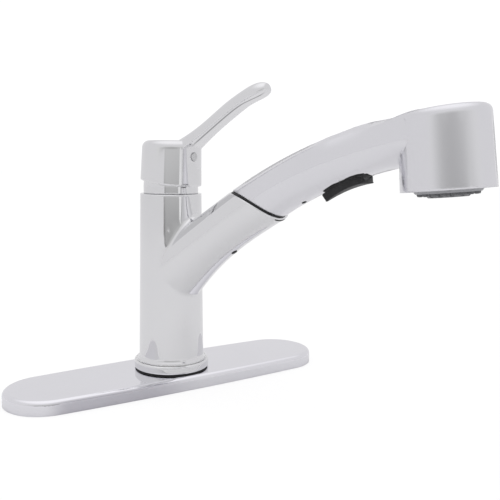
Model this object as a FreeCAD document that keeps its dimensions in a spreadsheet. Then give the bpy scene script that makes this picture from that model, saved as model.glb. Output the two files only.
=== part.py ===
import FreeCAD, Part
import math
import os

import Sketcher
from FreeCAD import Placement, Rotation, Vector

# A pull-out kitchen faucet on a long deck plate, in millimetres.
# +Z is up, the origin lies on the column's axis in the plane of the counter top, the deck plate
# runs along X and the user stands on the -Y side. The column, with its lever and wand, is drawn
# with the spout along its own +X and then turned about Z to the rest position.

doc = FreeCAD.newDocument("pull_out_faucet")
sheet = doc.addObject("Spreadsheet::Sheet", "dim")

SIZES = [
    # Deck plate and base
    ("plate_length", 260.0, "deck plate, end to end"),
    ("plate_width", 67.0, "deck plate, front to back at the middle"),
    ("plate_end_radius", 31.0, "round ends of the deck plate"),
    ("plate_height", 10.4, "deck plate, counter to top face"),
    ("plate_round", 3.6, "rounding of the top edge"),
    ("plate_wall", 2.2, "wall of the pressed deck plate"),
    ("underplate_gap", 0.2, "play of that plate inside the deck plate"),
    ("gasket_thickness", 1.4, "black ring under the base"),
    ("gasket_radius", 28.2, "outer radius of that ring"),
    ("flange_radius", 28.8, "foot of the column and its base ring"),
    ("base_ring_height", 5.8, "fixed ring below the swivel seam"),
    ("edge_round", 1.2, "small rounding of turned edges"),
    ("glide_thickness", 0.6, "plastic washer in the swivel seam"),
    ("glide_inset", 0.9, "how far that washer lies inside the flange"),
    ("shank_radius", 16.5, "plain part of the shank, in the counter's hole"),
    ("thread_radius", 16.3, "threaded part of the shank, below the counter"),
    ("shank_bore", 15.0, "way through the shank for hose and tubes"),
    ("shank_drop", 57.0, "shank below the counter's top face"),
    ("collar_radius", 17.2, "plain collar of the shank above the counter"),
    ("shank_play", 0.1, "play of plates and rings round the collar"),
    ("spigot_height", 38.0, "bearing that the column turns on"),
    ("swivel_play", 0.06, "radial play of the column on its bearing"),
    ("seal_section", 1.2, "section radius of the two swivel seals"),
    ("seal_pitch", 18.0, "distance between the swivel seals"),
    ("nut_depth", 30.0, "counter's top face to the mounting washer"),
    ("nut_height", 9.0, "mounting nut"),
    ("nut_radius", 27.0, "mounting nut, across its wings"),
    ("nut_wing_count", 6, "grip lobes round the mounting nut"),
    ("grip_radius", 5.4, "hollow between two grip lobes"),
    ("washer_thickness", 2.0, "steel washer above the nut"),
    ("washer_radius", 26.0, "outer radius of that washer"),
    ("thread_play", 0.08, "radial play of the nut on the shank"),
    # Column
    ("column_base_radius", 24.9, "column just above its foot"),
    ("column_top_radius", 23.2, "column at its top edge"),
    ("column_top", 146.2, "counter to the column's top edge"),
    ("column_bore", 20.4, "inside radius of the column"),
    ("flare_height", 3.4, "flare of the column's foot"),
    ("spout_swing", 20.0, "turn of the spout from straight ahead, at rest"),
    # Spout branch, dock and wand neck, which share one centre line
    ("receiver_angle", 34.5, "rise of the branch"),
    ("receiver_drop", 60.2, "column's top edge down to the branch's line, on the column's axis"),
    ("bend_reach", 72.0, "column axis to the start of the wand's bend"),
    ("neck_bend_radius", 303.0, "bend of the wand's neck"),
    ("neck_radius", 18.4, "branch and neck, at the start of the bend"),
    ("neck_taper", 0.029, "loss of radius per millimetre along the line"),
    ("neck_crown", 17.2, "bend of the wand's neck to its top line"),
    ("neck_belly", 17.7, "bend of the wand's neck to its underside, before the taper"),
    ("root_drop", 9.0, "extra depth under the branch's root"),
    ("root_spread", 2.3, "extra half width of the branch's root"),
    ("junction_round", 3.0, "rounding where the branch leaves the column"),
    ("receiver_bore", 15.2, "inside radius of the branch"),
    ("seam_place", 16.2, "start of the bend to the dock seam, along the line"),
    ("seam_fall", 23.5, "slope of the dock seam"),
    ("seam_bow", 62.0, "radius of the dock seam's bow towards the wand"),
    ("lip_thickness", 1.8, "black lip between branch and wand"),
    ("lip_inset", 0.6, "how far the lip lies inside the skin"),
    ("dock_gap", 0.3, "gap between lip and wand"),
    ("sleeve_depth", 42.0, "dock sleeve inside the branch"),
    ("sleeve_wall", 2.0, "wall of the dock sleeve"),
    ("tail_play", 0.3, "radial play of the wand's tail in the sleeve"),
    ("tail_depth", 36.0, "wand's tail inside the branch, from the bend's start"),
    ("tail_socket", 34.0, "wand's tail inside the wand, from the bend's start"),
    ("weep_radius", 1.6, "weep hole under the branch"),
    ("weep_place", 25.0, "weep hole before the bend's start"),
    # Spray head
    ("neck_length", 153.4, "start of the bend to the head's axis"),
    ("neck_spread", 26.0, "half width of the neck at the head's axis"),
    ("head_tilt", 5.7, "lean of the head's axis"),
    ("head_drop", 30.2, "head's axis point down to its lower face"),
    ("head_rise", 16.0, "head's axis point up to the middle of its top face"),
    ("head_slope", 9.0, "rise of the head's top face towards the front"),
    ("head_radius", 27.6, "head at its lower face"),
    ("head_top_radius", 26.2, "head at the middle of its top face"),
    ("head_round", 4.4, "rounding of the head's top edge"),
    ("head_step", 0.1, "neck's flat top below the head's top face"),
    ("face_radius", 20.2, "recess for the spray face"),
    ("face_depth", 8.0, "depth of that recess"),
    ("spray_play", 0.1, "play of the spray face in its recess"),
    ("spray_proud", 1.6, "spray face below the head's lower face"),
    ("aerator_radius", 12.8, "aerator in the middle of the spray face"),
    ("aerator_proud", 4.2, "aerator below the head's lower face"),
    ("aerator_notch_count", 12, "notches round the aerator"),
    ("nozzle_count", 18, "spray nozzles round the aerator"),
    ("nozzle_radius", 1.3, "one spray nozzle"),
    # Spray button
    ("button_place", 84.0, "start of the bend to the button's middle"),
    ("button_length", 33.4, "rocker button"),
    ("button_width", 20.0, "rocker button, side to side"),
    ("button_proud", 5.2, "button below the neck's underside"),
    ("button_dish", 60.0, "radius of the hollow in the button's face"),
    ("button_slant", 2.2, "how far the button's ends lean inwards"),
    ("button_tilt", 3.5, "room that the rocker needs, as an angle"),
    ("button_play", 0.3, "play of the button in its pocket"),
    ("saddle_play", 0.4, "gap between the button's middle and the neck"),
    ("button_root", 6.0, "button inside the neck"),
    ("button_root_length", 24.0, "button inside the neck"),
    ("button_root_width", 10.0, "button inside the neck"),
    ("button_pin_radius", 1.5, "pivot pin of the button"),
    ("button_pin_length", 16.4, "pivot pin of the button"),
    ("pin_play", 0.05, "radial play of a pivot pin"),
    # Hose and tubes
    ("hose_radius", 6.5, "outside of the braided hose"),
    ("hose_bore", 4.0, "inside of the braided hose"),
    ("hose_bend", 40.0, "bend of the hose inside the column"),
    ("hose_reach", 6.0, "hose in front of the column's axis"),
    ("hose_drop", 48.0, "hose end below the counter's top face"),
    ("ferrule_radius", 8.6, "crimp on the hose"),
    ("ferrule_length", 16.0, "crimp on the hose"),
    ("tube_radius", 4.0, "inlet tubes"),
    ("tube_wall", 1.0, "wall of the tubes"),
    ("tube_back", 6.5, "inlet tubes behind the column's axis"),
    ("tube_spread", 7.6, "inlet tubes beside the column's axis"),
    ("outlet_radius", 3.0, "outlet tube"),
    ("outlet_back", 11.4, "outlet tube behind the column's axis"),
    # Valve
    ("block_depth", 34.2, "column's top edge down to the valve block's foot"),
    ("block_height", 15.0, "valve block"),
    ("fit_play", 0.05, "play of fixed pieces in their seats"),
    ("cartridge_radius", 17.5, "cartridge"),
    ("cartridge_wall", 2.2, "wall of the cartridge"),
    ("cartridge_floor", 2.0, "floor of the cartridge"),
    ("cartridge_neck", 15.4, "neck of the cartridge"),
    ("cartridge_nut_height", 5.0, "ring nut over the cartridge's shoulder"),
    ("disc_thickness", 3.0, "fixed ceramic disc"),
    ("slider_radius", 10.0, "moving ceramic disc"),
    ("slider_thickness", 4.0, "moving ceramic disc"),
    ("slider_gap", 0.3, "play above and below the moving parts"),
    ("pivot_rise", 5.8, "column's top edge to the lever's pivot"),
    ("cap_radius", 20.7, "domed cap under the hub"),
    ("cap_wall", 2.0, "wall of the domed cap"),
    ("cap_hole", 11.2, "hole for the stem in the cap's crown"),
    ("carrier_radius", 12.8, "turning carrier in the cartridge"),
    ("carrier_rise", 6.0, "carrier above the pivot"),
    ("stem_size", 8.0, "square stem"),
    ("stem_play", 0.4, "play of the stem in the carrier"),
    ("stem_drop", 18.0, "pivot to the tip of the stem"),
    ("tip_size", 4.4, "tip that drives the moving disc"),
    ("pivot_pin_radius", 2.0, "lever's pivot pin"),
    # Lever
    ("lever_lean", 8.0, "forward lean of the stem and the hub's lower edge when shut"),
    ("hub_lean", 2.2, "forward lean of the hub's side"),
    ("hub_radius", 23.2, "hub of the lever, at the pivot's height"),
    ("hub_top_radius", 22.2, "hub of the lever, at its top"),
    ("hub_rim", 3.0, "pivot to the hub's lower edge"),
    ("hub_height", 34.0, "pivot to the hub's top"),
    ("hub_round", 5.5, "rounding of the hub's top edge"),
    ("hub_gap", 0.9, "gap between hub and domed cap"),
    ("stem_socket", 30.5, "pivot to the end of the stem's socket"),
    ("plug_radius", 3.0, "index plug in the hub's front"),
    ("plug_rise", 22.0, "pivot to the index plug"),
    ("plug_depth", 3.0, "index plug inside the hub"),
    ("screw_radius", 2.0, "set screw that holds the lever"),
    # Lever arm: each section's place from the pivot, rise, width and thickness
    ("arm_reach_a", 4.0, "first section, inside the hub"),
    ("arm_height_a", 24.5, "first section"),
    ("arm_rise_a", 16.0, "first section"),
    ("arm_width_a", 25.0, "first section"),
    ("arm_thickness_a", 13.0, "first section"),
    ("arm_reach_b", 24.0, "second section, at the hub's front"),
    ("arm_height_b", 35.6, "second section"),
    ("arm_rise_b", 28.0, "second section"),
    ("arm_width_b", 19.0, "second section"),
    ("arm_thickness_b", 9.8, "second section"),
    ("arm_reach_c", 41.0, "third section"),
    ("arm_height_c", 46.3, "third section"),
    ("arm_rise_c", 34.0, "third section"),
    ("arm_width_c", 15.0, "third section"),
    ("arm_thickness_c", 8.8, "third section"),
    ("arm_reach_d", 60.0, "fourth section"),
    ("arm_height_d", 58.4, "fourth section"),
    ("arm_rise_d", 30.0, "fourth section"),
    ("arm_width_d", 14.4, "fourth section"),
    ("arm_thickness_d", 9.0, "fourth section"),
    ("arm_reach_e", 75.0, "fifth section"),
    ("arm_height_e", 65.9, "fifth section"),
    ("arm_rise_e", 20.0, "fifth section"),
    ("arm_width_e", 15.2, "fifth section"),
    ("arm_thickness_e", 9.2, "fifth section"),
    ("arm_reach_f", 84.5, "sixth section"),
    ("arm_height_f", 69.2, "sixth section"),
    ("arm_rise_f", 13.0, "sixth section"),
    ("arm_width_f", 14.0, "sixth section"),
    ("arm_thickness_f", 7.8, "sixth section"),
    ("arm_reach_g", 88.6, "last section, at the tip"),
    ("arm_height_g", 70.1, "last section"),
    ("arm_rise_g", 10.0, "last section"),
    ("arm_width_g", 8.0, "last section"),
    ("arm_thickness_g", 4.0, "last section"),
]
ARM_LETTERS = "abcdefg"
for row, (alias, number, note) in enumerate(SIZES, start=1):
    sheet.set("A%d" % row, note)
    sheet.set("B%d" % row, str(number))
    sheet.setAlias("B%d" % row, alias)
doc.recompute()


def value(expression):
    """The number that an expression of the sheet's sizes stands for."""
    result = sheet.evalExpression(expression)
    return float(getattr(result, "Value", result))


# Named places, as expressions of the sheet's sizes
RING_FLOOR = "(dim.plate_height + dim.gasket_thickness)"
RING_TOP = "(%s + dim.base_ring_height)" % RING_FLOOR
SEAM_TOP = "(%s + dim.glide_thickness)" % RING_TOP
SPIGOT_RADIUS = "(dim.column_bore - dim.swivel_play)"
SPIGOT_TOP = "(%s + dim.spigot_height)" % RING_TOP
PIVOT = "(dim.column_top + dim.pivot_rise)"
BLOCK_BOTTOM = "(dim.column_top - dim.block_depth)"
BLOCK_TOP = "(%s + dim.block_height)" % BLOCK_BOTTOM
SHOULDER = "(dim.column_top - dim.cartridge_nut_height)"
DISC_FLOOR = "(%s + dim.cartridge_floor)" % BLOCK_TOP
DISC_TOP = "(%s + dim.disc_thickness)" % DISC_FLOOR
SLIDER_FLOOR = "(%s + dim.slider_gap)" % DISC_TOP
SLIDER_TOP = "(%s + dim.slider_thickness)" % SLIDER_FLOOR
CARRIER_FLOOR = "(%s + dim.slider_gap)" % SLIDER_TOP
CARRIER_TOP = "(%s + dim.carrier_rise)" % PIVOT
CAVITY = "(dim.cartridge_radius - dim.cartridge_wall)"
RECEIVER_HEIGHT = "(dim.column_top - dim.receiver_drop)"
BEND_HEIGHT = "(%s + dim.bend_reach * tan(dim.receiver_angle))" % RECEIVER_HEIGHT
ROOT = "(-dim.bend_reach / cos(dim.receiver_angle))"
HUB_CAVITY = "(dim.cap_radius + dim.hub_gap)"
SLEEVE_BORE = "(dim.receiver_bore - dim.fit_play - dim.sleeve_wall)"
TAIL_RADIUS = "(%s - dim.tail_play)" % SLEEVE_BORE
AROUND_COLLAR = "(dim.collar_radius + dim.shank_play)"
SCREW_HEIGHT = "(%s + dim.plug_rise)" % PIVOT
PLUG_SEAT = "(dim.hub_radius - dim.plug_depth)"

# Shares of a length at which a swept form has its sections, with what the section takes there
ROOT_FADE = (("0", "1"), ("0.25", "0.38"), ("0.45", "0.06"))
NECK_SHARES = ("0.3", "0.55")
BLADE_EDGE, BLADE_SIDE = "0.96", "2.2"
SHOULDER_SHARE, SHOULDER_GROWTH = "0.73", "1.1"
THROAT_SHARE, THROAT_GROWTH = "0.87", "1.03"
STRAINER_SHARE = "0.7"
SLOT_SHARE = "0.75"


def on_branch(distance):
    """Place and rise of a point on the branch's straight line, measured from the bend's start."""
    x = "(dim.bend_reach + (%s) * cos(dim.receiver_angle))" % distance
    z = "(%s + (%s) * sin(dim.receiver_angle))" % (BEND_HEIGHT, distance)
    return x, z, "dim.receiver_angle"


def on_neck(distance):
    """Place and rise of a point on the wand's bend, measured from the bend's start."""
    rise = "(dim.receiver_angle - (%s) / dim.neck_bend_radius * 180 / pi)" % distance
    x = "(dim.bend_reach + dim.neck_bend_radius * (sin(dim.receiver_angle) - sin(%s)))" % rise
    z = "(%s + dim.neck_bend_radius * (cos(%s) - cos(dim.receiver_angle)))" % (BEND_HEIGHT, rise)
    return x, z, rise


def skin(distance):
    """Radius of the branch and neck at a distance from the bend's start."""
    return "(dim.neck_radius - dim.neck_taper * (%s))" % distance


def below_neck(distance):
    """Distance from the wand's bend to the neck's underside."""
    return "(dim.neck_belly - dim.neck_taper * (%s))" % distance


def off_line(place, offset):
    """A place moved square off the centre line, upwards."""
    x, z, rise = place
    return "(%s - (%s) * sin(%s))" % (x, offset, rise), "(%s + (%s) * cos(%s))" % (z, offset, rise), rise


# Drawing helpers
def new_body(label, turned_with_spout=True):
    body = doc.addObject("PartDesign::Body", label)
    body.Label = label
    if turned_with_spout:
        body.Placement = Placement(Vector(), Rotation(Vector(0, 0, -1), 90 - value("dim.spout_swing")))
        body.setExpression("Placement.Rotation.Angle", "90 - dim.spout_swing")
    return body


def new_sketch(body, plane, base=("0", "0", "0"), axis=Vector(0, 0, 1), angle="0"):
    """A sketch on an origin plane, moved by base and turned about one of its own axes."""
    sketch = body.newObject("Sketcher::SketchObject", body.Name + "_sketch")
    support = [feature for feature in body.Origin.OriginFeatures if feature.Role == plane][0]
    sketch.AttachmentSupport = [(support, "")]
    sketch.MapMode = "FlatFace"
    if value(angle) < 0:
        axis = axis * -1
        angle = "-(%s)" % angle
    offset = Vector(*[value(part) for part in base])
    sketch.AttachmentOffset = Placement(offset, Rotation(axis, value(angle)))
    for letter, part in zip("xyz", base):
        if part != "0":
            sketch.setExpression("AttachmentOffset.Base." + letter, part)
    if angle != "0":
        sketch.setExpression("AttachmentOffset.Rotation.Angle", angle)
    return sketch


def bind(sketch, constraint, expression):
    index = sketch.addConstraint(constraint)
    sketch.setExpression("Constraints[%d]" % index, expression)


def pin_point(sketch, geometry, position, point):
    """Tie a point of the sketch to its coordinates, given as two expressions."""
    for kind, on_axis, expression in (("DistanceX", -2, point[0]), ("DistanceY", -1, point[1])):
        number = value(expression)
        if abs(number) < 1e-9:
            sketch.addConstraint(Sketcher.Constraint("PointOnObject", geometry, position, on_axis))
        elif number > 0:
            bind(sketch, Sketcher.Constraint(kind, -1, 1, geometry, position, number), expression)
        else:
            bind(sketch, Sketcher.Constraint(kind, geometry, position, -1, 1, -number), "-(%s)" % expression)


def outline(sketch, points, arcs=None):
    """A closed outline through points; arcs gives some of its runs a radius and a side.

    Side +1 has the arc's centre on the left of the run, -1 on the right.
    """
    arcs = arcs or {}
    spots = [Vector(value(x), value(y), 0) for x, y in points]
    first = sketch.GeometryCount
    starts, ends = [], []
    for run in range(len(spots)):
        begin, finish = spots[run], spots[(run + 1) % len(spots)]
        if run not in arcs:
            sketch.addGeometry(Part.LineSegment(begin, finish), False)
            starts.append(1)
            ends.append(2)
            continue
        radius, side = arcs[run]
        half = (finish - begin) * 0.5
        left = Vector(-half.y, half.x, 0).normalize()
        rise = math.sqrt(max(value(radius) ** 2 - half.Length ** 2, 0.0))
        centre = begin + half + left * (rise * side)
        low, high = (begin, finish) if side > 0 else (finish, begin)
        from_angle = math.atan2(low.y - centre.y, low.x - centre.x)
        to_angle = math.atan2(high.y - centre.y, high.x - centre.x)
        circle_curve = Part.Circle(centre, Vector(0, 0, 1), value(radius))
        sketch.addGeometry(Part.ArcOfCircle(circle_curve, from_angle, to_angle), False)
        starts.append(1 if side > 0 else 2)
        ends.append(2 if side > 0 else 1)
    for run, point in enumerate(points):
        after = (run + 1) % len(points)
        joint = Sketcher.Constraint("Coincident", first + run, ends[run], first + after, starts[after])
        sketch.addConstraint(joint)
        pin_point(sketch, first + run, starts[run], point)
    for run, (radius, side) in arcs.items():
        bind(sketch, Sketcher.Constraint("Radius", first + run, value(radius)), radius)
    return sketch


def ring(sketch, x, y, radius):
    """A full circle."""
    centre = Vector(value(x), value(y), 0)
    index = sketch.addGeometry(Part.Circle(centre, Vector(0, 0, 1), value(radius)), False)
    pin_point(sketch, index, 3, (x, y))
    bind(sketch, Sketcher.Constraint("Radius", index, value(radius)), radius)
    return sketch


def oval_half(half_width, height):
    """Radii of the flat and the tight arc of half an oval; the two meet on the diagonal."""
    mix = "(((%s) * sqrt(0.5) - (%s) * (1 - sqrt(0.5))) / (sqrt(2) - 1))"
    return mix % (half_width, height), mix % (height, half_width)


def skin_section(sketch, half_width, above, below, flat_topped=False):
    """A six-arc section about the centre line: an oval, or one with a flat top and two upper edges."""
    flat, tight = oval_half(half_width, above)
    x = "(sqrt(0.5) * %s)" % flat
    y = "(sqrt(0.5) * %s)" % tight
    if flat_topped:
        tight = "(%s * %s)" % (BLADE_SIDE, above)
        y = "(%s * %s)" % (BLADE_EDGE, above)
        x = "(%s - %s + sqrt(%s ^ 2 - %s ^ 2))" % (half_width, tight, tight, y)
        sag = "(%s - %s)" % (above, y)
        flat = "((%s ^ 2 + %s ^ 2) / (2 * %s))" % (x, sag, sag)
    under_flat, under_tight = oval_half(half_width, below)
    under_x = "(sqrt(0.5) * %s)" % under_flat
    under_y = "(sqrt(0.5) * %s)" % under_tight
    points = [
        (half_width, "0"),
        (x, y),
        ("-" + x, y),
        ("-" + half_width, "0"),
        ("-" + under_x, "-" + under_y),
        (under_x, "-" + under_y),
    ]
    radii = [tight, flat, tight, under_tight, under_flat, under_tight]
    return outline(sketch, points, {run: (radius, 1) for run, radius in enumerate(radii)})


def feature(body, kind, profile, **settings):
    """Add a PartDesign feature; text settings become expressions, others plain properties."""
    made = body.newObject("PartDesign::" + kind, body.Name + "_" + kind.lower())
    made.Profile = profile
    for name, setting in settings.items():
        if name in ("Length", "Angle", "Radius"):
            made.setExpression(name, setting)
        else:
            setattr(made, name, setting)
    profile.Visibility = False
    doc.recompute()
    return made


def revolve(body, sketch, kind="Revolution"):
    return feature(body, kind, sketch, ReferenceAxis=(sketch, ["V_Axis"]))


def upright(body, x="0", z="0", lean="0"):
    """A sketch in the spout's plane whose upward axis starts at x, z and leans towards -X."""
    return new_sketch(body, "XZ_Plane", (x, z, "0"), Vector(0, 0, 1), lean)


def across(body, place):
    """A sketch square to the centre line at a place with its rise."""
    x, z, rise = place
    return new_sketch(body, "YZ_Plane", ("0", z, x), Vector(1, 0, 0), "-(%s)" % rise)


def along_branch(body):
    """A sketch whose upward axis runs along the branch, from the start of the bend."""
    x, z, rise = on_branch("0")
    return upright(body, x, z, "%s - 90" % rise)


def turned(label, points, arcs=None, turned_with_spout=True, place=("0", "0", "0")):
    """A turned piece: its half section, as radius and height, swept round an axis."""
    body = new_body(label, turned_with_spout)
    revolve(body, outline(upright(body, *place), points, arcs))
    return body


def washer(label, inner, outer, floor, top, turned_with_spout=True, place=("0", "0", "0")):
    corners = [(inner, floor), (outer, floor), (outer, top), (inner, top)]
    return turned(label, corners, None, turned_with_spout, place)


def bore(body, sketch, depth, backwards=False):
    return feature(body, "Pocket", sketch, Length=depth, Reversed=backwards)


def level_edges(body, height):
    """Numbers of the tip's edges that lie level at a height."""
    found = []
    for index, edge in enumerate(body.Tip.Shape.Edges, start=1):
        levels = [edge.valueAt(share).z for share in (edge.FirstParameter, edge.LastParameter)]
        levels.append(edge.CenterOfMass.z)
        if all(abs(level - height) < 0.01 for level in levels):
            found.append(index)
    return found


def round_edges(body, numbers, radius):
    rounded = body.newObject("PartDesign::Fillet", body.Name + "_fillet")
    rounded.Base = (body.Group[-2], ["Edge%d" % number for number in numbers])
    rounded.setExpression("Radius", radius)
    doc.recompute()
    return rounded


# Deck plate
def plate_outline(body, floor, inset):
    """The plate's plan: round ends and long sides that bow, with every arc tangent."""
    sketch = new_sketch(body, "XY_Plane", ("0", "0", floor))
    end = "(dim.plate_end_radius - (%s))" % inset
    half = "(dim.plate_width / 2 - (%s))" % inset
    centre = "(dim.plate_length / 2 - dim.plate_end_radius)"
    side = "((%s ^ 2 + %s ^ 2 - %s ^ 2) / (2 * (%s - %s)))" % (centre, half, end, half, end)
    reach = "(%s - %s)" % (side, end)
    x = "(%s + %s * %s / %s)" % (centre, end, centre, reach)
    y = "(%s * (%s - %s) / %s)" % (end, side, half, reach)
    tip = "(%s + %s)" % (centre, end)
    points = [(tip, "0"), (x, y), ("-" + x, y), ("-" + tip, "0"), ("-" + x, "-" + y), (x, "-" + y)]
    arcs = {0: (end, 1), 1: (side, 1), 2: (end, 1), 3: (end, 1), 4: (side, 1), 5: (end, 1)}
    return outline(sketch, points, arcs)


def deck_plate():
    """Pressed plate: a rounded shell, open below, with the hole for the shank."""
    body = new_body("deck_plate", False)
    feature(body, "Pad", plate_outline(body, "0", "0"), Length="dim.plate_height")
    round_edges(body, level_edges(body, value("dim.plate_height")), "dim.plate_round")
    hollow = plate_outline(body, "0", "dim.plate_wall")
    bore(body, hollow, "dim.plate_height - dim.plate_wall", True)
    hole = ring(new_sketch(body, "XY_Plane"), "0", "0", AROUND_COLLAR)
    bore(body, hole, "dim.plate_height * 2", True)
    return body


def underplate():
    """Plastic plate inside the deck plate, flush with its foot."""
    body = new_body("underplate", False)
    foot = plate_outline(body, "0", "dim.plate_wall + dim.underplate_gap")
    feature(body, "Pad", foot, Length="dim.plate_height - dim.plate_wall")
    hole = ring(new_sketch(body, "XY_Plane"), "0", "0", AROUND_COLLAR)
    bore(body, hole, "dim.plate_height", True)
    return body


# Base
def base_pieces():
    gasket = washer("base_gasket", AROUND_COLLAR, "dim.gasket_radius", "dim.plate_height", RING_FLOOR, False)
    ring_points = [
        (AROUND_COLLAR, RING_FLOOR),
        ("dim.flange_radius", RING_FLOOR),
        ("dim.flange_radius", "%s - dim.edge_round" % RING_TOP),
        ("dim.flange_radius - dim.edge_round", RING_TOP),
        (AROUND_COLLAR, RING_TOP),
    ]
    base_ring = turned("base_ring", ring_points, {2: ("dim.edge_round", 1)}, False)
    glide_outer = "dim.flange_radius - dim.edge_round - dim.glide_inset"
    glide = washer("glide_washer", "dim.column_bore", glide_outer, RING_TOP, SEAM_TOP, False)
    return [gasket, base_ring, glide]


def seal_heights():
    middle = "(%s + dim.spigot_height / 2)" % RING_TOP
    return ["(%s %s dim.seal_pitch / 2)" % (middle, sign) for sign in "-+"]


def shank():
    """Threaded shank with the wider spigot that the column turns on and two seal grooves."""
    floor = "(%s - 2 * dim.seal_section)" % SPIGOT_RADIUS
    lower, upper = seal_heights()
    points = [
        ("dim.shank_bore", "-dim.shank_drop"),
        ("dim.thread_radius", "-dim.shank_drop"),
        ("dim.thread_radius", "-dim.nut_depth"),
        ("dim.shank_radius", "-dim.nut_depth"),
        ("dim.shank_radius", "0"),
        ("dim.collar_radius", "0"),
        ("dim.collar_radius", RING_TOP),
        (SPIGOT_RADIUS, RING_TOP),
    ]
    for height in (lower, upper):
        points.append((SPIGOT_RADIUS, "%s - dim.seal_section" % height))
        points.append((floor, "%s - dim.seal_section" % height))
        points.append((floor, "%s + dim.seal_section" % height))
        points.append((SPIGOT_RADIUS, "%s + dim.seal_section" % height))
    points.append((SPIGOT_RADIUS, "%s - dim.edge_round" % SPIGOT_TOP))
    points.append(("%s - dim.edge_round" % SPIGOT_RADIUS, SPIGOT_TOP))
    points.append(("dim.shank_bore", SPIGOT_TOP))
    return turned("shank", points, None, False)


def swivel_seals():
    made = []
    for name, height in zip(("swivel_seal_lower", "swivel_seal_upper"), seal_heights()):
        seal = doc.addObject("Part::Torus", name)
        seal.Label = name
        seal.setExpression("Radius1", "%s - dim.seal_section" % SPIGOT_RADIUS)
        seal.setExpression("Radius2", "dim.seal_section")
        seal.setExpression("Placement.Base.z", height)
        made.append(seal)
    return made


def mounting_nut():
    """Plastic nut with grip lobes, and the steel washer that it pulls against the counter."""
    inner = "dim.thread_radius + dim.thread_play"
    top = "-dim.nut_depth - dim.washer_thickness"
    plate = washer("mounting_washer", inner, "dim.washer_radius", top, "-dim.nut_depth", False)
    body = new_body("mounting_nut", False)
    sketch = new_sketch(body, "XY_Plane", ("0", "0", "%s - dim.nut_height" % top))
    ring(sketch, "0", "0", "dim.nut_radius")
    ring(sketch, "0", "0", inner)
    feature(body, "Pad", sketch, Length="dim.nut_height")
    grip = new_sketch(body, "XY_Plane", ("0", "0", "%s - dim.nut_height" % top))
    ring(grip, "dim.nut_radius + dim.grip_radius / 2", "0", "dim.grip_radius")
    cut = bore(body, grip, "dim.nut_height", True)
    repeat(body, cut, "dim.nut_wing_count")
    return [plate, body]


def repeat(body, original, count, axis=None):
    """A full circle of copies of a feature, about Z or about a sketch's upward axis."""
    pattern = body.newObject("PartDesign::PolarPattern", body.Name + "_pattern")
    pattern.Originals = [original]
    z_axis = [item for item in body.Origin.OriginFeatures if item.Role == "Z_Axis"][0]
    pattern.Axis = axis or (z_axis, [""])
    pattern.Angle = 360
    pattern.setExpression("Occurrences", count)
    body.Tip = pattern
    doc.recompute()
    return pattern


# Column with its branch
def seam_point(along, shift):
    """A point in the spout's plane, measured along the dock seam and square to it."""
    x, z, rise = on_neck("dim.seam_place")
    return (
        "%s + (%s) * cos(dim.seam_fall) + (%s) * sin(dim.seam_fall)" % (x, along, shift),
        "%s - (%s) * sin(dim.seam_fall) + (%s) * cos(dim.seam_fall)" % (z, along, shift),
    )


def cut_at_seam(body, shift, beyond):
    """Take away everything on one side of the bowed dock seam; beyond is the wand's side."""
    reach = "(1.5 * dim.neck_radius)"
    edge = "(%s - dim.seam_bow + sqrt(dim.seam_bow ^ 2 - %s ^ 2))" % (shift, reach)
    away = "(%s %s 6 * dim.neck_radius)" % (shift, "+" if beyond else "-")
    far = "(4 * dim.neck_radius)"
    corners = [
        seam_point("-" + far, edge),
        seam_point("-" + reach, edge),
        seam_point(reach, edge),
        seam_point(far, edge),
        seam_point(far, away),
        seam_point("-" + far, away),
    ]
    sketch = outline(new_sketch(body, "XZ_Plane"), corners, {1: ("dim.seam_bow", -1)})
    feature(body, "Pocket", sketch, SideType="Symmetric", Length="6 * dim.neck_radius")


def branch_stations():
    """Place, half width, top and underside of the branch's sections, from the column's axis."""
    stations = []
    for share, drop in ROOT_FADE:
        place = "(%s * (1 - %s))" % (ROOT, share)
        under = "(%s + dim.root_drop * %s)" % (skin(place), drop)
        wide = "(%s + dim.root_spread * %s)" % (skin(place), drop)
        stations.append((on_branch(place), wide, skin(place), under, False))
    return stations


def under_head_top(place):
    """Distance from the wand's bend up to a little under the head's top face, at a place on the bend."""
    x, z, rise = on_neck(place)
    top_x, top_z = head_top_middle()
    fall = "(%s - dim.head_step - %s + (%s - %s) * tan(dim.head_slope))" % (top_z, z, x, top_x)
    return "(%s / (cos(%s) + sin(%s) * tan(dim.head_slope)))" % (fall, rise, rise)


def neck_stations():
    """The same for the neck, from the start of the bend to the head's axis."""
    stations = [(on_branch("0"), skin("0"), skin("0"), skin("0"), False)]
    for share in NECK_SHARES:
        place = "(dim.neck_length * %s)" % share
        stations.append((on_neck(place), skin(place), "dim.neck_crown", below_neck(place), False))
    shoulder = "(dim.neck_length * %s)" % SHOULDER_SHARE
    wide = "(%s * %s)" % (skin(shoulder), SHOULDER_GROWTH)
    stations.append((on_neck(shoulder), wide, "dim.neck_crown", below_neck(shoulder), False))
    throat = "(dim.neck_length * %s)" % THROAT_SHARE
    spread = "((dim.neck_spread + %s) / 2 * %s)" % (skin(shoulder), THROAT_GROWTH)
    stations.append((on_neck(throat), spread, under_head_top(throat), below_neck(throat), True))
    end = "dim.neck_length"
    stations.append((on_neck(end), "dim.neck_spread", under_head_top(end), below_neck(end), True))
    return stations


def sweep(body, stations, inset="0"):
    """The skin through some stations, drawn in by an inset."""
    sections = []
    for place, wide, above, below, flat_topped in stations:
        sizes = ["(%s - (%s))" % (size, inset) for size in (wide, above, below)]
        sections.append(skin_section(across(body, place), *sizes, flat_topped))
    feature(body, "AdditiveLoft", sections[0], Sections=sections[1:])


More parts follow.
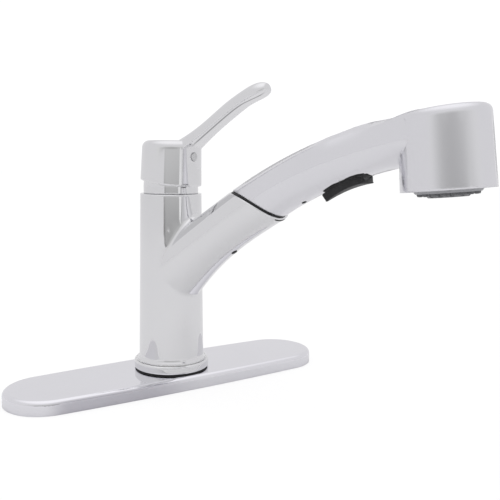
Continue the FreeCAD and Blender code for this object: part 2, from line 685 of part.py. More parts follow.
def junction_edges(body):
    """Numbers of the tip's curved edges that lie on the column's wall, clear of its ends."""
    found = []
    low = value("%s + 2 * dim.flare_height" % SEAM_TOP)
    high = value("dim.column_top - dim.edge_round")
    inner = value("dim.column_top_radius - dim.edge_round")
    outer = value("dim.column_base_radius + dim.edge_round")
    for index, edge in enumerate(body.Tip.Shape.Edges, start=1):
        spots = edge.discretize(9)
        on_wall = all(inner < math.hypot(spot.x, spot.y) < outer for spot in spots)
        clear = all(low < spot.z < high for spot in spots)
        if on_wall and clear and not isinstance(edge.Curve, Part.Line):
            found.append(index)
    return found


def column():
    body = new_body("column")
    flare_top = "(%s + dim.flare_height)" % SEAM_TOP
    flare = "(dim.flange_radius - dim.edge_round - dim.column_base_radius)"
    flare_radius = "((%s ^ 2 + dim.flare_height ^ 2) / (2 * %s))" % (flare, flare)
    points = [
        ("0", SEAM_TOP),
        ("dim.flange_radius - dim.edge_round", SEAM_TOP),
        ("dim.column_base_radius", flare_top),
        ("dim.column_top_radius", "dim.column_top"),
        ("0", "dim.column_top"),
    ]
    revolve(body, outline(upright(body), points, {1: (flare_radius, -1)}))
    sweep(body, branch_stations() + neck_stations()[:2])
    round_edges(body, junction_edges(body), "dim.junction_round")
    cut_at_seam(body, "0", True)
    hollow = [
        ("0", SEAM_TOP),
        ("dim.column_bore", SEAM_TOP),
        ("dim.column_bore", "dim.column_top"),
        ("0", "dim.column_top"),
    ]
    revolve(body, outline(upright(body), hollow), "Groove")
    mouth = across(body, on_branch("dim.seam_place + 2 * dim.neck_radius"))
    length = "dim.seam_place + 2 * dim.neck_radius - %s" % ROOT
    bore(body, ring(mouth, "0", "0", "dim.receiver_bore"), length)
    x, z, rise = on_branch("-dim.weep_place")
    drain = new_sketch(body, "XY_Plane", (x, "0", z), Vector(0, 1, 0), "-dim.receiver_angle")
    bore(body, ring(drain, "0", "0", "dim.weep_radius"), "2 * dim.neck_radius")
    return body


def dock_sleeve():
    """Black sleeve that lines the branch, with the lip that shows in the dock seam."""
    body = new_body("dock_sleeve")
    sweep(body, branch_stations()[-1:] + neck_stations()[:2], "dim.lip_inset")
    cut_at_seam(body, "0", False)
    outer = "dim.receiver_bore - dim.fit_play"
    top = "dim.seam_place"
    tube = [("0", "-dim.sleeve_depth"), (outer, "-dim.sleeve_depth"), (outer, top), ("0", top)]
    revolve(body, outline(along_branch(body), tube))
    cut_at_seam(body, "dim.lip_thickness", True)
    mouth = across(body, on_branch("dim.seam_place + 2 * dim.neck_radius"))
    length = "dim.seam_place + 2 * dim.neck_radius + 2 * dim.sleeve_depth"
    bore(body, ring(mouth, "0", "0", SLEEVE_BORE), length)
    return body


# Wand
def head_place():
    x, z, rise = on_neck("dim.neck_length")
    return x, z, "dim.head_tilt"


def head_top_middle():
    """The middle of the head's top face, in the spout's plane."""
    x, z, tilt = head_place()
    return "(%s - dim.head_rise * sin(%s))" % (x, tilt), "(%s + dim.head_rise * cos(%s))" % (z, tilt)


def cut_head_top(body):
    """Cut the head to its sloping top face."""
    x, z = head_top_middle()
    wide = "(2 * dim.head_radius)"
    corners = [("-" + wide, "0"), (wide, "0"), (wide, wide), ("-" + wide, wide)]
    sketch = outline(upright(body, x, z, "dim.head_slope"), corners)
    feature(body, "Pocket", sketch, SideType="Symmetric", Length="4 * dim.head_radius")


def rim_edges(body):
    """Numbers of the tip's edges round its top face, all of them above the head's axis point."""
    x, z, tilt = head_place()
    floor = value("%s + dim.head_round" % z)
    found = []
    for index, edge in enumerate(body.Tip.Shape.Edges, start=1):
        spots = edge.discretize(9)
        if all(spot.z > floor for spot in spots) and not isinstance(edge.Curve, Part.Line):
            found.append(index)
    return found


def wand_shell():
    """Spray head and neck: the head first, with its rounded top edge, and then the neck into it."""
    body = new_body("wand_shell")
    reach = "(dim.head_rise + dim.head_top_radius)"
    taper = "((dim.head_radius - dim.head_top_radius) / (dim.head_rise + dim.head_drop))"
    head = [
        ("0", "-dim.head_drop"),
        ("dim.head_radius", "-dim.head_drop"),
        ("dim.head_radius - %s * (%s + dim.head_drop)" % (taper, reach), reach),
        ("0", reach),
    ]
    revolve(body, outline(upright(body, *head_place()), head))
    cut_head_top(body)
    round_edges(body, rim_edges(body), "dim.head_round")
    straight = "(-dim.seam_place)"
    start = (on_branch(straight), skin(straight), skin(straight), skin(straight), False)
    sweep(body, [start] + neck_stations())
    cut_at_seam(body, "dim.lip_thickness + dim.dock_gap", False)
    recess = [
        ("0", "-dim.head_drop"),
        ("dim.face_radius", "-dim.head_drop"),
        ("dim.face_radius", "dim.face_depth - dim.head_drop"),
        ("0", "dim.face_depth - dim.head_drop"),
    ]
    revolve(body, outline(upright(body, *head_place()), recess), "Groove")
    mouth = across(body, on_branch("-2 * dim.seam_place"))
    length = "2 * dim.seam_place + dim.tail_socket"
    bore(body, ring(mouth, "0", "0", "%s + dim.fit_play" % TAIL_RADIUS), length, True)
    button_pocket(body)
    return body


def button_sketch(body):
    """A sketch in the spout's plane, from the neck's underside below the button's middle."""
    place = "dim.button_place"
    return upright(body, *off_line(on_neck(place), "-%s" % below_neck(place)))


def button_bar(body, kind, half_length, floor, top, width):
    """A block or slot across the neck, under the button's middle."""
    corners = [("-" + half_length, floor), (half_length, floor), (half_length, top), ("-" + half_length, top)]
    feature(body, kind, outline(button_sketch(body), corners), SideType="Symmetric", Length=width)


def button_pocket(body):
    """Slot in the neck's underside for the rocker's root, and the holes for its pin."""
    half = "(dim.button_root_length / 2 + dim.button_play + dim.button_root * tan(dim.button_tilt))"
    deep = "(dim.button_root + dim.button_play + dim.button_root_length / 2 * tan(dim.button_tilt))"
    width = "dim.button_root_width + 2 * dim.button_play"
    button_bar(body, "Pocket", half, "-dim.button_proud", deep, width)
    pin = ring(button_sketch(body), "0", "dim.button_root / 2", "dim.button_pin_radius")
    feature(body, "Pocket", pin, SideType="Symmetric", Length="dim.button_pin_length")


def spray_button():
    """Rocker button with a hollow face that hugs the neck, and a root that the pin passes through."""
    body = new_body("spray_button")
    half = "(dim.button_length / 2)"
    face = "(%s - dim.button_slant)" % half
    side = "(dim.button_width / 2)"
    corners = [
        ("-" + half, side),
        ("-" + face, "-dim.button_proud"),
        (face, "-dim.button_proud"),
        (half, side),
    ]
    pad_sketch = outline(button_sketch(body), corners, {1: ("dim.button_dish", -1)})
    feature(body, "Pad", pad_sketch, SideType="Symmetric", Length="dim.button_width")
    room = "(dim.button_play + %s * tan(dim.button_tilt))" % half
    sections = []
    for share in ("-1", "0", "1"):
        place = "(dim.button_place + %s * dim.button_length)" % share
        clear = "(dim.saddle_play + 4 * (%s) ^ 2 * (%s - dim.saddle_play))" % (share, room)
        sizes = ["(%s + %s)" % (size, clear) for size in (skin(place), skin(place), below_neck(place))]
        sections.append(skin_section(across(body, on_neck(place)), *sizes))
    feature(body, "SubtractiveLoft", sections[0], Sections=sections[1:])
    root = "(dim.button_root_length / 2)"
    foot = "-(%s + dim.button_proud) / 2" % room
    button_bar(body, "Pad", root, foot, "dim.button_root", "dim.button_root_width")
    hole = ring(button_sketch(body), "0", "dim.button_root / 2", "dim.button_pin_radius + dim.pin_play")
    feature(body, "Pocket", hole, SideType="Symmetric", Length="2 * dim.button_width")
    return body


def button_pin():
    body = new_body("button_pin")
    radius = "dim.button_pin_radius - dim.fit_play / 5"
    sketch = ring(button_sketch(body), "0", "dim.button_root / 2", radius)
    feature(body, "Pad", sketch, SideType="Symmetric", Length="dim.button_pin_length - dim.fit_play")
    return body


def spray_face():
    """Grey spray plate with a ring of nozzles round the hole for the aerator."""
    body = new_body("spray_face")
    rim = "(dim.face_radius - dim.spray_play)"
    hole = "(dim.aerator_radius + dim.spray_play)"
    top = "(dim.face_depth - dim.head_drop)"
    low = "(-dim.head_drop - dim.spray_proud)"
    points = [
        (hole, low),
        ("%s - dim.edge_round" % rim, low),
        (rim, "-dim.head_drop"),
        (rim, top),
        (hole, top),
    ]
    profile = outline(upright(body, *head_place()), points)
    revolve(body, profile)
    x, z, tilt = head_place()
    nozzles = new_sketch(body, "XY_Plane", (x, "0", z), Vector(0, 1, 0), "-dim.head_tilt")
    pitch = "(%s + %s) / 2" % (rim, hole)
    ring(nozzles, pitch, "0", "dim.nozzle_radius")
    depth = "dim.head_drop + dim.spray_proud + dim.nozzle_radius"
    peg = feature(body, "Pad", nozzles, Length=depth, Reversed=True)
    repeat(body, peg, "dim.nozzle_count", (profile, ["V_Axis"]))
    clear = [
        ("0", top),
        ("2 * dim.face_radius", top),
        ("2 * dim.face_radius", "dim.head_rise"),
        ("0", "dim.head_rise"),
    ]
    revolve(body, outline(upright(body, *head_place()), clear), "Groove")
    return body


def aerator():
    """Aerator insert with notches round its lower edge and a dished strainer face."""
    body = new_body("aerator")
    top = "(dim.face_depth - dim.head_drop)"
    low = "(-dim.head_drop - dim.aerator_proud)"
    points = [
        ("0", "%s + dim.spray_proud" % low),
        ("dim.aerator_radius * %s" % STRAINER_SHARE, low),
        ("dim.aerator_radius - dim.edge_round", low),
        ("dim.aerator_radius", "%s + dim.edge_round" % low),
        ("dim.aerator_radius", top),
        ("0", top),
    ]
    profile = outline(upright(body, *head_place()), points)
    revolve(body, profile)
    x, z, tilt = head_place()
    notch = new_sketch(body, "XY_Plane", (x, "0", z), Vector(0, 1, 0), "-dim.head_tilt")
    ring(notch, "dim.aerator_radius", "0", "dim.nozzle_radius")
    cut = bore(body, notch, "2 * dim.head_drop", False)
    repeat(body, cut, "dim.aerator_notch_count", (profile, ["V_Axis"]))
    return body


def wand_tail():
    """Tail of the wand that slides into the dock sleeve and takes the hose."""
    body = new_body("wand_tail")
    points = [
        ("dim.hose_bore", "-dim.tail_depth"),
        ("%s - dim.edge_round" % TAIL_RADIUS, "-dim.tail_depth"),
        (TAIL_RADIUS, "dim.edge_round - dim.tail_depth"),
        (TAIL_RADIUS, "dim.tail_socket"),
        ("dim.hose_bore", "dim.tail_socket"),
    ]
    revolve(body, outline(along_branch(body), points))
    return body


# Hose and tubes
def hose_ferrule():
    start = "(-dim.tail_depth - dim.ferrule_length)"
    body = new_body("hose_ferrule")
    inner = "dim.hose_radius + dim.fit_play"
    points = [
        (inner, start),
        ("dim.ferrule_radius - dim.edge_round", start),
        ("dim.ferrule_radius", "%s + dim.edge_round" % start),
        ("dim.ferrule_radius", "-dim.tail_depth"),
        (inner, "-dim.tail_depth"),
    ]
    revolve(body, outline(along_branch(body), points))
    return body


def hose():
    """Braided hose from the wand's tail, down through the column and out of the shank."""
    turn = value("dim.receiver_angle")
    bend = value("dim.hose_bend")
    reach = value("dim.hose_reach")
    angle = math.radians(turn)
    corner = Vector(reach, 0, value(RECEIVER_HEIGHT) + reach * math.tan(angle))
    uphill = Vector(math.cos(angle), 0, math.sin(angle))
    tangent = bend * math.tan(math.radians(90 - turn) / 2)
    bottom = Vector(reach, 0, -value("dim.hose_drop"))
    low = corner - Vector(0, 0, tangent)
    high = corner + uphill * tangent
    centre = low + Vector(bend, 0, 0)
    middle_angle = math.radians(180 - (90 - turn) / 2)
    middle = centre + Vector(math.cos(middle_angle), 0, math.sin(middle_angle)) * bend
    x, z, rise = on_branch("-dim.tail_depth - dim.dock_gap")
    top = Vector(value(x), 0, value(z))
    path = Part.Wire([
        Part.LineSegment(bottom, low).toShape(),
        Part.Arc(low, middle, high).toShape(),
        Part.LineSegment(high, top).toShape(),
    ])
    solids = []
    for radius in (value("dim.hose_radius"), value("dim.hose_bore")):
        circle_edge = Part.Circle(bottom, Vector(0, 0, 1), radius).toShape()
        solids.append(path.makePipeShell([Part.Wire([circle_edge])], True, False))
    made = doc.addObject("Part::Feature", "hose")
    made.Label = "hose"
    made.Shape = solids[0].cut(solids[1])
    made.Placement = Placement(Vector(), Rotation(Vector(0, 0, -1), 90 - value("dim.spout_swing")))
    return made


def pipe(label, x, y, outer, inner):
    """A straight tube from the valve block down through the shank."""
    body = new_body(label)
    sketch = new_sketch(body, "XY_Plane", ("0", "0", "-dim.hose_drop"))
    ring(sketch, x, y, outer)
    ring(sketch, x, y, inner)
    feature(body, "Pad", sketch, Length="dim.hose_drop + %s" % BLOCK_BOTTOM)
    return body


def tubes():
    inner = "dim.tube_radius - dim.tube_wall"
    narrow = "dim.outlet_radius - dim.tube_wall"
    back = "-dim.tube_back"
    return [
        pipe("hot_tube", back, "dim.tube_spread", "dim.tube_radius", inner),
        pipe("cold_tube", back, "-dim.tube_spread", "dim.tube_radius", inner),
        pipe("outlet_tube", "-dim.outlet_back", "0", "dim.outlet_radius", narrow),
    ]


# Valve
def valve_block():
    body = new_body("valve_block")
    sketch = new_sketch(body, "XY_Plane", ("0", "0", BLOCK_BOTTOM))
    ring(sketch, "0", "0", "dim.column_bore - dim.fit_play")
    inner = "dim.tube_radius - dim.tube_wall"
    ring(sketch, "-dim.tube_back", "dim.tube_spread", inner)
    ring(sketch, "-dim.tube_back", "-dim.tube_spread", inner)
    ring(sketch, "-dim.outlet_back", "0", "dim.outlet_radius - dim.tube_wall")
    feature(body, "Pad", sketch, Length="dim.block_height")
    return body


def valve_pieces():
    neck_bore = "(dim.carrier_radius + dim.slider_gap)"
    shell = [
        ("0", BLOCK_TOP),
        ("dim.cartridge_radius", BLOCK_TOP),
        ("dim.cartridge_radius", SHOULDER),
        ("dim.cartridge_neck", SHOULDER),
        ("dim.cartridge_neck", PIVOT),
        (neck_bore, PIVOT),
        (neck_bore, "%s - dim.cartridge_wall" % SHOULDER),
        (CAVITY, "%s - dim.cartridge_wall" % SHOULDER),
        (CAVITY, DISC_FLOOR),
        ("0", DISC_FLOOR),
    ]
    cartridge = turned("cartridge", shell)
    nut_inner = "dim.cartridge_neck + dim.fit_play"
    nut = washer("cartridge_nut", nut_inner, "dim.column_bore - dim.fit_play", SHOULDER, "dim.column_top")
    plain = [
        ("0", DISC_FLOOR),
        ("%s - dim.fit_play" % CAVITY, DISC_FLOOR),
        ("%s - dim.fit_play" % CAVITY, DISC_TOP),
        ("0", DISC_TOP),
    ]
    disc = turned("fixed_disc", plain)
    return [cartridge, nut, disc]


def dome_cap():
    """Chromed cap: a short collar, then a dome about the lever's pivot with a hole in its crown."""
    inner = "(dim.cap_radius - dim.cap_wall)"
    outer_top = "(%s + sqrt(dim.cap_radius ^ 2 - dim.cap_hole ^ 2))" % PIVOT
    inner_top = "(%s + sqrt(%s ^ 2 - dim.cap_hole ^ 2))" % (PIVOT, inner)
    points = [
        (inner, "dim.column_top"),
        ("dim.cap_radius", "dim.column_top"),
        ("dim.cap_radius", PIVOT),
        ("dim.cap_hole", outer_top),
        ("dim.cap_hole", inner_top),
        (inner, PIVOT),
    ]
    return turned("dome_cap", points, {2: ("dim.cap_radius", 1), 4: (inner, -1)})


def stem_carrier():
    """Carrier that turns in the cartridge, slotted for the stem and cross-drilled for its pin."""
    body = new_body("stem_carrier")
    points = [
        ("0", CARRIER_FLOOR),
        ("dim.carrier_radius", CARRIER_FLOOR),
        ("dim.carrier_radius", CARRIER_TOP),
        ("0", CARRIER_TOP),
    ]
    revolve(body, outline(upright(body), points))
    reach = "(dim.carrier_radius - dim.slider_thickness / 2)"
    half = "(dim.stem_size / 2 + dim.stem_play)"
    slot = new_sketch(body, "XY_Plane", ("0", "0", CARRIER_TOP))
    outline(slot, [("-" + reach, "-" + half), (reach, "-" + half), (reach, half), ("-" + reach, half)])
    bore(body, slot, "2 * dim.stem_drop")
    pin = ring(upright(body), "0", PIVOT, "dim.pivot_pin_radius")
    feature(body, "Pocket", pin, SideType="Symmetric", Length="2 * dim.carrier_radius")
    return body


def pivot_pin():
    body = new_body("pivot_pin")
    sketch = ring(upright(body), "0", PIVOT, "dim.pivot_pin_radius - dim.fit_play / 5")
    feature(body, "Pad", sketch, SideType="Symmetric", Length="2 * dim.carrier_radius - 2 * dim.edge_round")
    return body


def moving_disc():
    """Ceramic disc that the stem's tip pushes across the fixed disc."""
    body = new_body("moving_disc")
    shift = "-dim.stem_drop * sin(dim.lever_lean)"
    sketch = new_sketch(body, "XY_Plane", ("0", "0", SLIDER_FLOOR))
    ring(sketch, shift, "0", "dim.slider_radius")
    feature(body, "Pad", sketch, Length="dim.slider_thickness")
    half = "(dim.tip_size / 2 + 2 * dim.stem_play)"
    left = "(%s - %s)" % (shift, half)
    right = "(%s + %s)" % (shift, half)
    slot = new_sketch(body, "XY_Plane", ("0", "0", SLIDER_TOP))
    outline(slot, [(left, "-" + half), (right, "-" + half), (right, half), (left, half)])
    bore(body, slot, "dim.slider_thickness * %s" % SLOT_SHARE)
    return body


# Lever
def lever_frame(body):
    """A sketch in the spout's plane whose upward axis is the hub's, from the lever's pivot."""
    return upright(body, "0", PIVOT, "-dim.lever_lean")


def lever_stem():
    """Square stem on the hub's axis, drilled for the pivot pin, with a narrower driving tip."""
    body = new_body("lever_stem")
    half = "dim.stem_size / 2"
    tip = "dim.tip_size / 2"
    step = "(dim.tip_size - dim.stem_drop)"
    points = [
        ("-" + tip, "-dim.stem_drop"),
        (tip, "-dim.stem_drop"),
        (tip, step),
        (half, step),
        (half, "dim.stem_socket - dim.stem_play"),
        ("-" + half, "dim.stem_socket - dim.stem_play"),
        ("-" + half, step),
        ("-" + tip, step),
    ]
    feature(body, "Pad", outline(lever_frame(body), points), SideType="Symmetric", Length="dim.tip_size")
    wide = [("-" + half, step), (half, step), points[4], points[5]]
    feature(body, "Pad", outline(lever_frame(body), wide), SideType="Symmetric", Length="dim.stem_size")
    hole = ring(lever_frame(body), "0", "0", "dim.pivot_pin_radius + dim.pin_play")
    feature(body, "Pocket", hole, SideType="Symmetric", Length="2 * dim.stem_size")
    return body


def hub_side(height):
    """Radius of the tapering hub at a height above the pivot, along its own axis."""
    return "(dim.hub_radius - (dim.hub_radius - dim.hub_top_radius) * (%s) / dim.hub_height)" % height


def arm_section(body, letter):
    """A section of the lever arm: flat below and crowned above."""
    width = "dim.arm_width_" + letter
    thick = "dim.arm_thickness_" + letter
    crown = "((%s ^ 2 / 4 + %s ^ 2) / (2 * %s))" % (width, thick, thick)
    height = "%s + dim.arm_height_%s" % (PIVOT, letter)
    points = [
        ("-%s / 2" % width, "-%s / 2" % thick),
        ("%s / 2" % width, "-%s / 2" % thick),
        ("0", "%s / 2" % thick),
    ]
    sketch = across(body, ("dim.arm_reach_" + letter, height, "dim.arm_rise_" + letter))
    return outline(sketch, points, {1: (crown, 1), 2: (crown, 1)})


def lever_handle():
    """Hub with the lever arm: a drum over the domed cap and an arm lofted out of its front."""
    body = new_body("lever_handle")
    floor = "(-dim.hub_height / 2)"
    top = "(2 * dim.hub_height)"
    drum = [("0", floor), (hub_side(floor), floor), (hub_side(top), top), ("0", top)]
    revolve(body, outline(upright(body, "0", PIVOT, "-dim.hub_lean"), drum))
    level = "(%s + dim.hub_height)" % PIVOT
    above = "(%s + 2 * dim.hub_height)" % level
    wide = "2 * dim.hub_radius"
    all_across = "4 * dim.hub_radius"
    over = [("-" + wide, level), (wide, level), (wide, above), ("-" + wide, above)]
    feature(body, "Pocket", outline(upright(body), over), SideType="Symmetric", Length=all_across)
    round_edges(body, level_edges(body, value(level)), "dim.hub_round")
    deep = "-dim.hub_height"
    under = [("-" + wide, deep), (wide, deep), (wide, "dim.hub_rim"), ("-" + wide, "dim.hub_rim")]
    feature(body, "Pocket", outline(lever_frame(body), under), SideType="Symmetric", Length=all_across)
    sections = [arm_section(body, letter) for letter in ARM_LETTERS]
    feature(body, "AdditiveLoft", sections[0], Sections=sections[1:])
    hollow = [("0", "-" + HUB_CAVITY), (HUB_CAVITY, "0"), ("0", HUB_CAVITY)]
    arcs = {0: (HUB_CAVITY, 1), 1: (HUB_CAVITY, 1)}
    revolve(body, outline(lever_frame(body), hollow, arcs), "Groove")
    half = "(dim.stem_size / 2 + dim.fit_play)"
    socket = [("-" + half, "0"), (half, "0"), (half, "dim.stem_socket"), ("-" + half, "dim.stem_socket")]
    feature(body, "Pocket", outline(lever_frame(body), socket), SideType="Symmetric", Length="2 * %s" % half)
    plug = across(body, (PLUG_SEAT, SCREW_HEIGHT, "0"))
    bore(body, ring(plug, "0", "0", "dim.plug_radius + dim.fit_play"), "2 * dim.hub_radius", True)
    screw = across(body, ("0", SCREW_HEIGHT, "0"))
    bore(body, ring(screw, "0", "0", "dim.screw_radius + dim.fit_play"), "2 * dim.hub_radius", True)
    return body


def lever_fixings():
    """Set screw against the stem's front face, and the plug that covers it."""
    lean = "(dim.plug_rise + dim.screw_radius) * tan(dim.lever_lean)"
    stem_face = "(dim.stem_size / 2 / cos(dim.lever_lean) + %s)" % lean
    screw = new_body("set_screw")
    start = ring(across(screw, (stem_face, SCREW_HEIGHT, "0")), "0", "0", "dim.screw_radius")
    feature(screw, "Pad", start, Length="%s - dim.fit_play - %s" % (PLUG_SEAT, stem_face))
    plug = new_body("index_plug")
    face = ring(across(plug, (PLUG_SEAT, SCREW_HEIGHT, "0")), "0", "0", "dim.plug_radius")
    front = "(%s / cos(dim.hub_lean) + dim.plug_rise * tan(dim.hub_lean))" % hub_side("dim.plug_rise")
    feature(plug, "Pad", face, Length="%s - %s + dim.stem_play" % (front, PLUG_SEAT))
    return [screw, plug]


pieces = [deck_plate(), underplate()]
pieces += base_pieces()
pieces.append(shank())
pieces += swivel_seals()
pieces += mounting_nut()
pieces += [column(), dock_sleeve()]
pieces += [wand_shell(), wand_tail(), spray_button(), button_pin(), spray_face(), aerator()]
pieces += [hose(), hose_ferrule()]
pieces += tubes()
pieces.append(valve_block())
pieces += valve_pieces()
pieces += [dome_cap(), stem_carrier(), pivot_pin(), moving_disc()]
pieces += [lever_stem(), lever_handle()]
pieces += lever_fixings()
doc.recompute()

# Nothing is written unless every object and every sub-part is sound
for item in doc.Objects:
    if "Invalid" in item.State or "Error" in item.State:
        raise RuntimeError("%s is not sound: %s" % (item.Label, item.State))
for piece in pieces:
    shape = piece.Shape
    if shape.isNull() or not shape.isValid():
        raise RuntimeError("%s has no valid shape" % piece.Label)
    if len(shape.Solids) != 1:
        raise RuntimeError("%s has %d solids" % (piece.Label, len(shape.Solids)))

os.makedirs("parts", exist_ok=True)
for piece in pieces:
    piece.Shape.exportStep("parts/%s.step" % piece.Label)
    print("%-20s %10.1f mm3" % (piece.Label, piece.Shape.Volume))
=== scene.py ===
"""Looks of a pull-out kitchen faucet: finishes, braided hose, small trim, and a plain studio round it."""

import math

import bmesh
import bpy
from bpy.props import FloatProperty, FloatVectorProperty, IntProperty, PointerProperty
from mathutils import Matrix, Vector
from mathutils.bvhtree import BVHTree


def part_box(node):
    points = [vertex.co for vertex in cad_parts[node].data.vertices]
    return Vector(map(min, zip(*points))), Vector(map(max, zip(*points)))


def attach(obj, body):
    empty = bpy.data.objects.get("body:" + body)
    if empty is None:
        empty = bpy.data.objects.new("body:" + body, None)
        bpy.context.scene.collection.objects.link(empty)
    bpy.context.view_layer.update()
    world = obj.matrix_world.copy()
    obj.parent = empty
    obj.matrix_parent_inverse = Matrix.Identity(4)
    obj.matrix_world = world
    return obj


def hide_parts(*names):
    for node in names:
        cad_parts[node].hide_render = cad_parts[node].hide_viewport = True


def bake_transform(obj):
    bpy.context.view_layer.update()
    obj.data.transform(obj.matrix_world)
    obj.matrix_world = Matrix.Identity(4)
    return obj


bl_info = {
    "name": "Pull-out kitchen faucet",
    "version": (1, 0, 0),
    "blender": (4, 5, 0),
    "location": "3D View > Sidebar > Faucet",
    "description": "Finishes, hose, small trim and studio of a pull-out kitchen faucet",
    "category": "Object",
}

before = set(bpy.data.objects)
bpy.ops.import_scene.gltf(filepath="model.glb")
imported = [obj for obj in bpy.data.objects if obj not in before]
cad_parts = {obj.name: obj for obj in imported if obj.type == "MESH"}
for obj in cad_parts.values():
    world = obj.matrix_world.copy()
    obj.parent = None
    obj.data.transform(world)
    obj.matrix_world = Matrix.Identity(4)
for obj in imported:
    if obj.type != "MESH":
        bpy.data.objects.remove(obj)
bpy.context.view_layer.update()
MM = 0.001

# The spout's plane: ahead in plan, across it, and up the branch
SPOUT_SWING = math.radians(20)
BRANCH_RISE = math.radians(34.5)
AHEAD = Vector((math.sin(SPOUT_SWING), -math.cos(SPOUT_SWING), 0))
ACROSS = Vector((-AHEAD.y, AHEAD.x, 0))
UP = Vector((0, 0, 1))
UPHILL = AHEAD * math.cos(BRANCH_RISE) + UP * math.sin(BRANCH_RISE)

# Height of the branch's line on the column's axis, and the end of the hose at the wand's tail
BRANCH_HEIGHT = 0.086
HOSE_TAIL = AHEAD * 0.04208 + UP * 0.11492

# The head's axis: the point where the neck's line meets it, and its direction
HEAD_TILT = math.radians(5.7)
HEAD_POINT = AHEAD * 0.21462 + UP * 0.18738
HEAD_AXIS = UP * math.cos(HEAD_TILT) - AHEAD * math.sin(HEAD_TILT)
HEAD_FRONT = AHEAD * math.cos(HEAD_TILT) + UP * math.sin(HEAD_TILT)

# Line under the lever's arm along which a dark reflection is painted, in millimetres ahead, above the counter
# and aside
ARM_LINE = (
    (20.0, 179.2, 3.4), (26.3, 183.27, 3.4), (43.46, 194.65, 3.5), (62.25, 206.5, 3.8), (76.57, 213.58, 2.0),
    (85.38, 217.4, 0.6), (95.0, 221.0, 0.4))

BRIGHT_NODES = ("base_ring", "column", "dome_cap")
BRASS_NODES = ("cartridge_nut", "lever_stem", "valve_block", "shank")
STEEL_NODES = ("button_pin", "hose_ferrule", "mounting_washer", "pivot_pin", "set_screw")
COPPER_NODES = ("hot_tube", "cold_tube", "outlet_tube")
RUBBER_NODES = ("base_gasket", "swivel_seal_lower", "swivel_seal_upper")
BLACK_NODES = ("dock_sleeve", "wand_tail", "mounting_nut")
WHITE_NODES = ("cartridge", "stem_carrier", "glide_washer")
GREY_NODES = ("spray_face", "underplate")
CERAMIC_NODES = ("fixed_disc", "moving_disc")


def in_plane(ahead, height):
    """A point of the spout's plane, from millimetres ahead of the column's axis and above the counter."""
    return (AHEAD * ahead + UP * height) * MM


# Rocker button: its ends at the face and under the neck, its pin, and the neck's section beside its middle
BUTTON_HEEL, BUTTON_TOE = in_plane(136.7, 146.2), in_plane(166.2, 159.3)
HEEL_TOP, TOE_TOP = in_plane(136.0, 153.3), in_plane(165.2, 165.7)
BUTTON_PIVOT = in_plane(150.8, 161.3)
NECK_NEAR, NECK_FAR, NECK_SAG = 6.0 * MM, 9.5 * MM, 1.1 * MM

# Small marks: along the branch and square to it, and where the key, the plug and the liner sit
ALONG_BRANCH, BELOW_BRANCH = in_plane(829, 559).normalized(), in_plane(559, -829).normalized()
KEY_PLACE, PLUG_PLACE, LINER_PLACE = in_plane(100.4, 133.2), in_plane(121.2, 145.3), in_plane(61.6, 106.3)

# The camera's own directions, and the way in plan from the column to the camera, in degrees
CAMERA_RIGHT = Vector((0.83248, -0.55393, 0.01172))
CAMERA_UP = Vector((0.06546, 0.11933, 0.99069))
TO_CAMERA = -117.3


def colour_setting(name, description, default):
    """A colour that the user can change."""
    return FloatVectorProperty(
        name=name, description=description, subtype="COLOR", default=default, min=0, max=1)


def share_setting(name, description, default):
    """A number between 0 and 1 that the user can change."""
    return FloatProperty(name=name, description=description, subtype="FACTOR", default=default, min=0, max=1)


def level_setting(name, description, default, **options):
    """A number from 0 up that the user can change."""
    return FloatProperty(name=name, description=description, default=default, min=0, **options)


def length_setting(name, description, millimetres, **limits):
    """A length that the user can change."""
    return FloatProperty(
        name=name, description=description, unit="LENGTH", default=millimetres * MM, **limits)


class FaucetFinish(bpy.types.PropertyGroup):
    chrome_tone: colour_setting("Chrome", "Tone of the polished plating", (0.782, 0.782, 0.792))
    chrome_shade: colour_setting(
        "Chrome smears", "Tone of the plating where it is faintly smeared", (0.745, 0.745, 0.760))
    chrome_roughness: share_setting("Chrome roughness", "Roughness of the polished plating", 0.045)
    wand_roughness: share_setting("Wand roughness", "Roughness of the softer plating on the wand", 0.16)
    wand_tone: colour_setting("Wand", "Tone of the softer plating on the wand", (0.780, 0.777, 0.806))
    plate_tone: colour_setting("Plate", "Tone of the deck plate's plating", (0.825, 0.82, 0.855))
    # Tone of the painted darker reflection on the deck plate's front edge
    front_reflection_tone: colour_setting(
        "Plate front", "Tone of the deck plate's front edge, left of the column", (0.575, 0.565, 0.61))
    # Tone of the painted dark reflection line under the lever's arm
    painted_line_tone: colour_setting(
        "Crease", "Tone of the plating along the line under the lever's arm", (0.30, 0.30, 0.31))
    soft_edge: length_setting("Soft edge", "How far the plating rounds an edge over", 2.2, min=0)
    brass_tone: colour_setting("Brass", "Tone of the turned brass", (0.60, 0.42, 0.18))
    steel_tone: colour_setting("Steel", "Tone of pins, washer and ferrule", (0.50, 0.51, 0.53))
    copper_tone: colour_setting("Copper", "Tone of the drawn tubes", (0.62, 0.30, 0.17))
    black_tone: colour_setting("Black plastic", "Tone of button, dock sleeve and nut", (0.009, 0.009, 0.010))
    black_gloss: share_setting("Black gloss", "Specular level of the black plastic and rubber", 0.28)
    grey_tone: colour_setting("Grey plastic", "Tone of spray face and underplate", (0.30, 0.305, 0.32))
    white_tone: colour_setting("White plastic", "Tone of cartridge, carrier and washer", (0.70, 0.70, 0.67))
    ceramic_tone: colour_setting("Ceramic", "Tone of the valve discs", (0.78, 0.76, 0.71))


